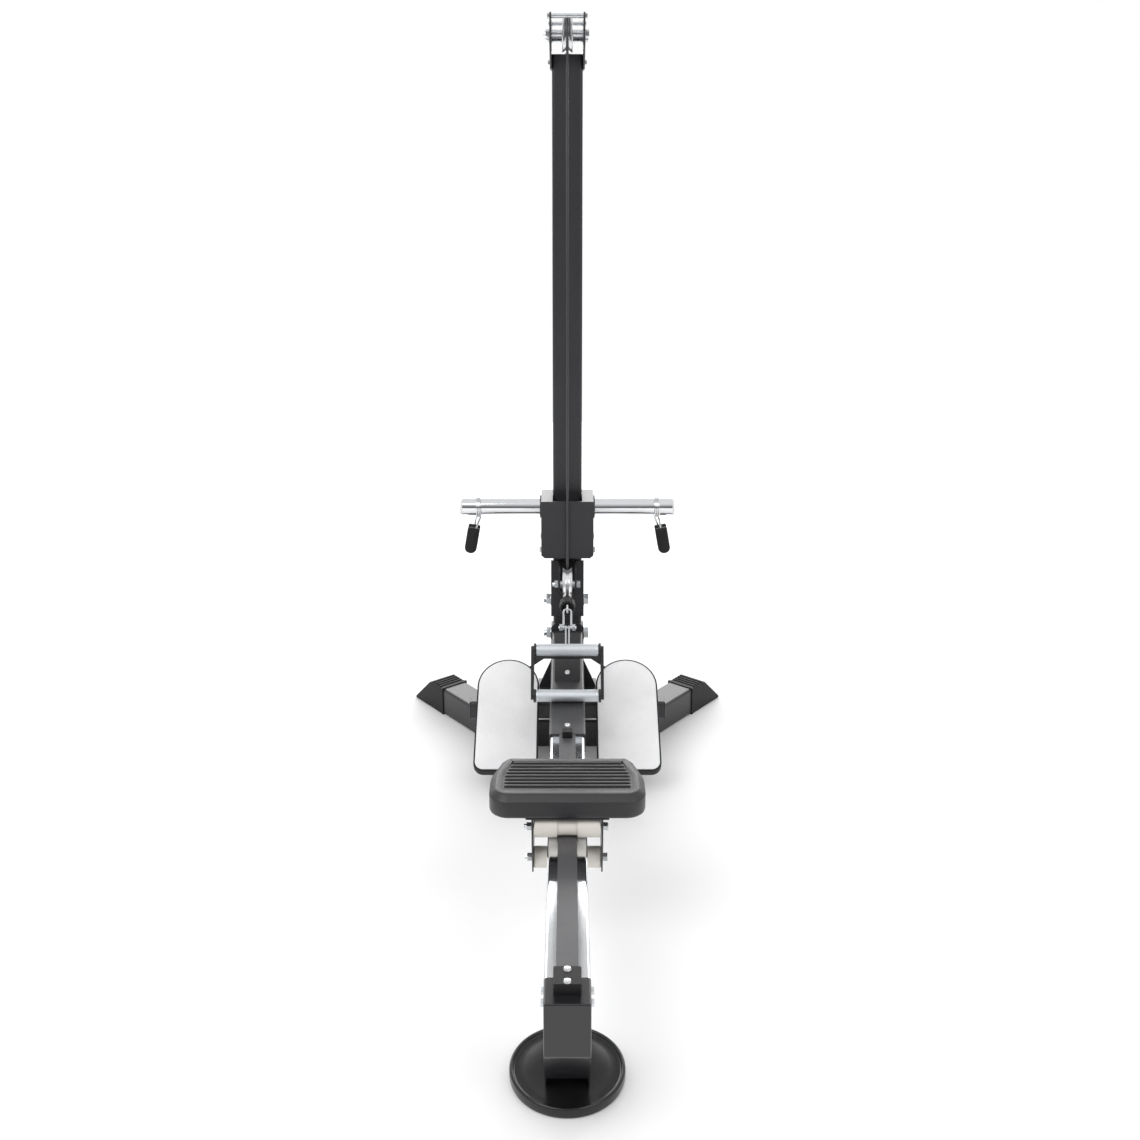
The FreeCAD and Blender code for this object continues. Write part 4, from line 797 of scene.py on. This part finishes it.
def makeCollar(word, hand):
    # A coil of spring wire round the sleeve whose two ends run down into dipped handles.
    # The coil is a helix: X grows with the turn while Y and Z go round the sleeve.
    s = collarSettings
    sleeve = middle("sleeve_left")
    centre = np.array([hand * 0.25, sleeve[1], sleeve[2]])
    radius = 0.025 + 0.0006 + s["wire"]
    turns = np.linspace(0, 1, 60 * s["coils"])
    angle = -math.pi / 2 + 0.45 + turns * (2 * math.pi * s["coils"] - 0.9)
    x = (turns - 0.5) * s["wire"] * 2 * s["coils"] * 0.86
    coil = np.column_stack([x, radius * np.cos(angle), radius * np.sin(angle)])
    lean = Matrix.Rotation(-hand * s["tilt"], 3, "Y")
    pads, wires = [], []
    for way, end in ((1, coil[0]), (-1, coil[-1])):
        foot = np.array([0, way * 0.015, -s["legDrop"] - 0.02])
        foot = np.array(lean @ Vector(foot)) + [hand * 0.003, 0, 0]
        knee = end + (foot - end) * 0.35 + [0, way * 0.004, 0]
        t = np.linspace(0, 1, 16)[:, None]
        wires.append((1 - t) ** 2 * end + 2 * t * (1 - t) * knee + t ** 2 * foot)
        side, bottom, top = s["padWide"] / 2, 0.008 - s["padLong"], 0.008
        outline = roundedLoop([(-side, bottom), (side, bottom), (side, top), (-side, top)],
                              [0.0162, 0.0162, 0.004, 0.004], 12)
        half = s["padThick"] / 2
        handlePad = shell(f"pad{way}", outline, [
            (0.0042, -half), (0.0016, -half + 0.0008), (0.0003, -half + 0.0026), (0, 0),
            (0.0003, half - 0.0026), (0.0016, half - 0.0008), (0.0042, half)])
        stand = Matrix.Translation((hand * 0.003, 0, 0)) @ lean.to_4x4() @ Matrix.Translation(
            (0, way * 0.015, -s["legDrop"])) @ Matrix.Rotation(math.pi / 2, 4, "X")
        pads.append(place(handlePad, stand))
    line = np.vstack([wires[0][::-1], coil[1:-1], wires[1]])
    spring = tube(f"collarSpring_{word}", line, s["wire"], 14)
    dipped = join(f"collarPads_{word}", pads)
    dipped.data.polygons.foreach_set("use_smooth", np.ones(len(dipped.data.polygons), bool))
    for piece, finishName in ((spring, "collar_spring"), (dipped, "black_rubber")):
        place(piece, Matrix.Translation(centre))
        wear(piece, finishes[finishName], finishName)
        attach(piece, f"spring_collar_{word}")
    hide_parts(f"collar_{word}")


for word, hand in (("left", -1), ("right", 1)):
    makeCollar(word, hand)
print("collars made")


# floor, light and camera

stageSettings = {"floor": 9.0, "lens": 38.885, "pitch": math.radians(13.558), "back": 3.2877, "high": 1.6507,
                 "shiftX": 0.0023, "shiftY": -0.12, "sky": 0.78, "front": 0.17}


def makeWorld(settings):
    # A white surround for the camera; what the metal reflects is darker low down on the user's side.
    world = bpy.data.worlds.new("studio")
    bpy.context.scene.world = world
    world.use_nodes = True
    tree = world.node_tree
    background = tree.nodes["Background"]
    background.inputs["Color"].default_value = (1, 1, 1, 1)
    background.inputs["Strength"].default_value = 1.0
    where = node(tree, "ShaderNodeTexCoord")
    parts = node(tree, "ShaderNodeSeparateXYZ")
    tree.links.new(where.outputs["Generated"], parts.inputs[0])
    towardsUser = rangeOf(tree, parts.outputs[1], 1, 0, -0.75, 0.1)
    lowDown = rangeOf(tree, parts.outputs[2], 1, 0, 0.15, 0.75)
    dark = node(tree, "ShaderNodeMath", operation="MULTIPLY")
    tree.links.new(towardsUser, dark.inputs[0])
    tree.links.new(lowDown, dark.inputs[1])
    # the horizon behind, which draws a dark line along the tops of the chromed tubes
    line = node(tree, "ShaderNodeMath", operation="MULTIPLY")
    tree.links.new(rangeOf(tree, parts.outputs[1], 0, 1, 0.1, 0.5), line.inputs[0])
    tree.links.new(rangeOf(tree, parts.outputs[2], 1, 0, 0.10, 0.16), line.inputs[1])
    both = node(tree, "ShaderNodeMath", operation="MAXIMUM")
    tree.links.new(dark.outputs[0], both.inputs[0])
    tree.links.new(line.outputs[0], both.inputs[1])
    shaded = node(tree, "ShaderNodeBackground")
    shaded.inputs["Strength"].default_value = settings["sky"]
    front = settings["front"]
    colour = mixColour(tree, both.outputs[0], (1, 1, 1, 1), (front, front, front * 1.03, 1))
    tree.links.new(colour, shaded.inputs["Color"])
    rays = node(tree, "ShaderNodeLightPath")
    choose = node(tree, "ShaderNodeMixShader")
    tree.links.new(rays.outputs["Is Camera Ray"], choose.inputs[0])
    tree.links.new(shaded.outputs[0], choose.inputs[1])
    tree.links.new(background.outputs[0], choose.inputs[2])
    tree.links.new(choose.outputs[0], tree.nodes["World Output"].inputs["Surface"])


def makeLamp(name, spot, aim, size, power):
    light = bpy.data.lights.new(name, "AREA")
    light.shape = "RECTANGLE"
    light.size, light.size_y = size
    light.energy = power
    lamp = bpy.data.objects.new(name, light)
    lamp.location = spot
    lamp.rotation_euler = (Vector(aim) - Vector(spot)).to_track_quat("-Z", "Y").to_euler()
    lamp.visible_camera = False
    bpy.context.scene.collection.objects.link(lamp)


def makeStage():
    s = stageSettings
    bpy.ops.mesh.primitive_plane_add(size=s["floor"], location=(0, 0, -0.0005))
    floor = bpy.context.object
    floor.name = "floor"
    material = bpy.data.materials.new("paleFloor")
    material.use_nodes = True
    shader = material.node_tree.nodes["Principled BSDF"]
    shader.inputs["Base Color"].default_value = (0.90, 0.90, 0.90, 1)
    shader.inputs["Roughness"].default_value = 0.9
    floor.data.materials.append(material)
    makeWorld(s)
    makeLamp("sheen", (0, 4.6, 2.3), (0, 0, 0.6), (7.0, 2.6), 210)  # behind, for the bright upper faces
    makeLamp("key", (-1.8, -2.2, 3.4), (0, 0.1, 0.4), (2.2, 2.2), 58)
    makeLamp("fill", (2.2, -2.6, 2.8), (0, 0.1, 0.4), (2.2, 2.2), 34)
    camera = bpy.data.cameras.new("camera")
    camera.lens = s["lens"]
    camera.sensor_width = 36
    camera.shift_x = s["shiftX"]
    camera.shift_y = s["shiftY"]
    view = bpy.data.objects.new("camera", camera)
    view.location = (0, mastY - s["back"], s["high"])
    view.rotation_euler = (math.pi / 2 - s["pitch"], 0, 0)
    bpy.context.scene.collection.objects.link(view)
    bpy.context.scene.camera = view
    bpy.context.scene.view_settings.view_transform = "Standard"


makeStage()
print("stage made")
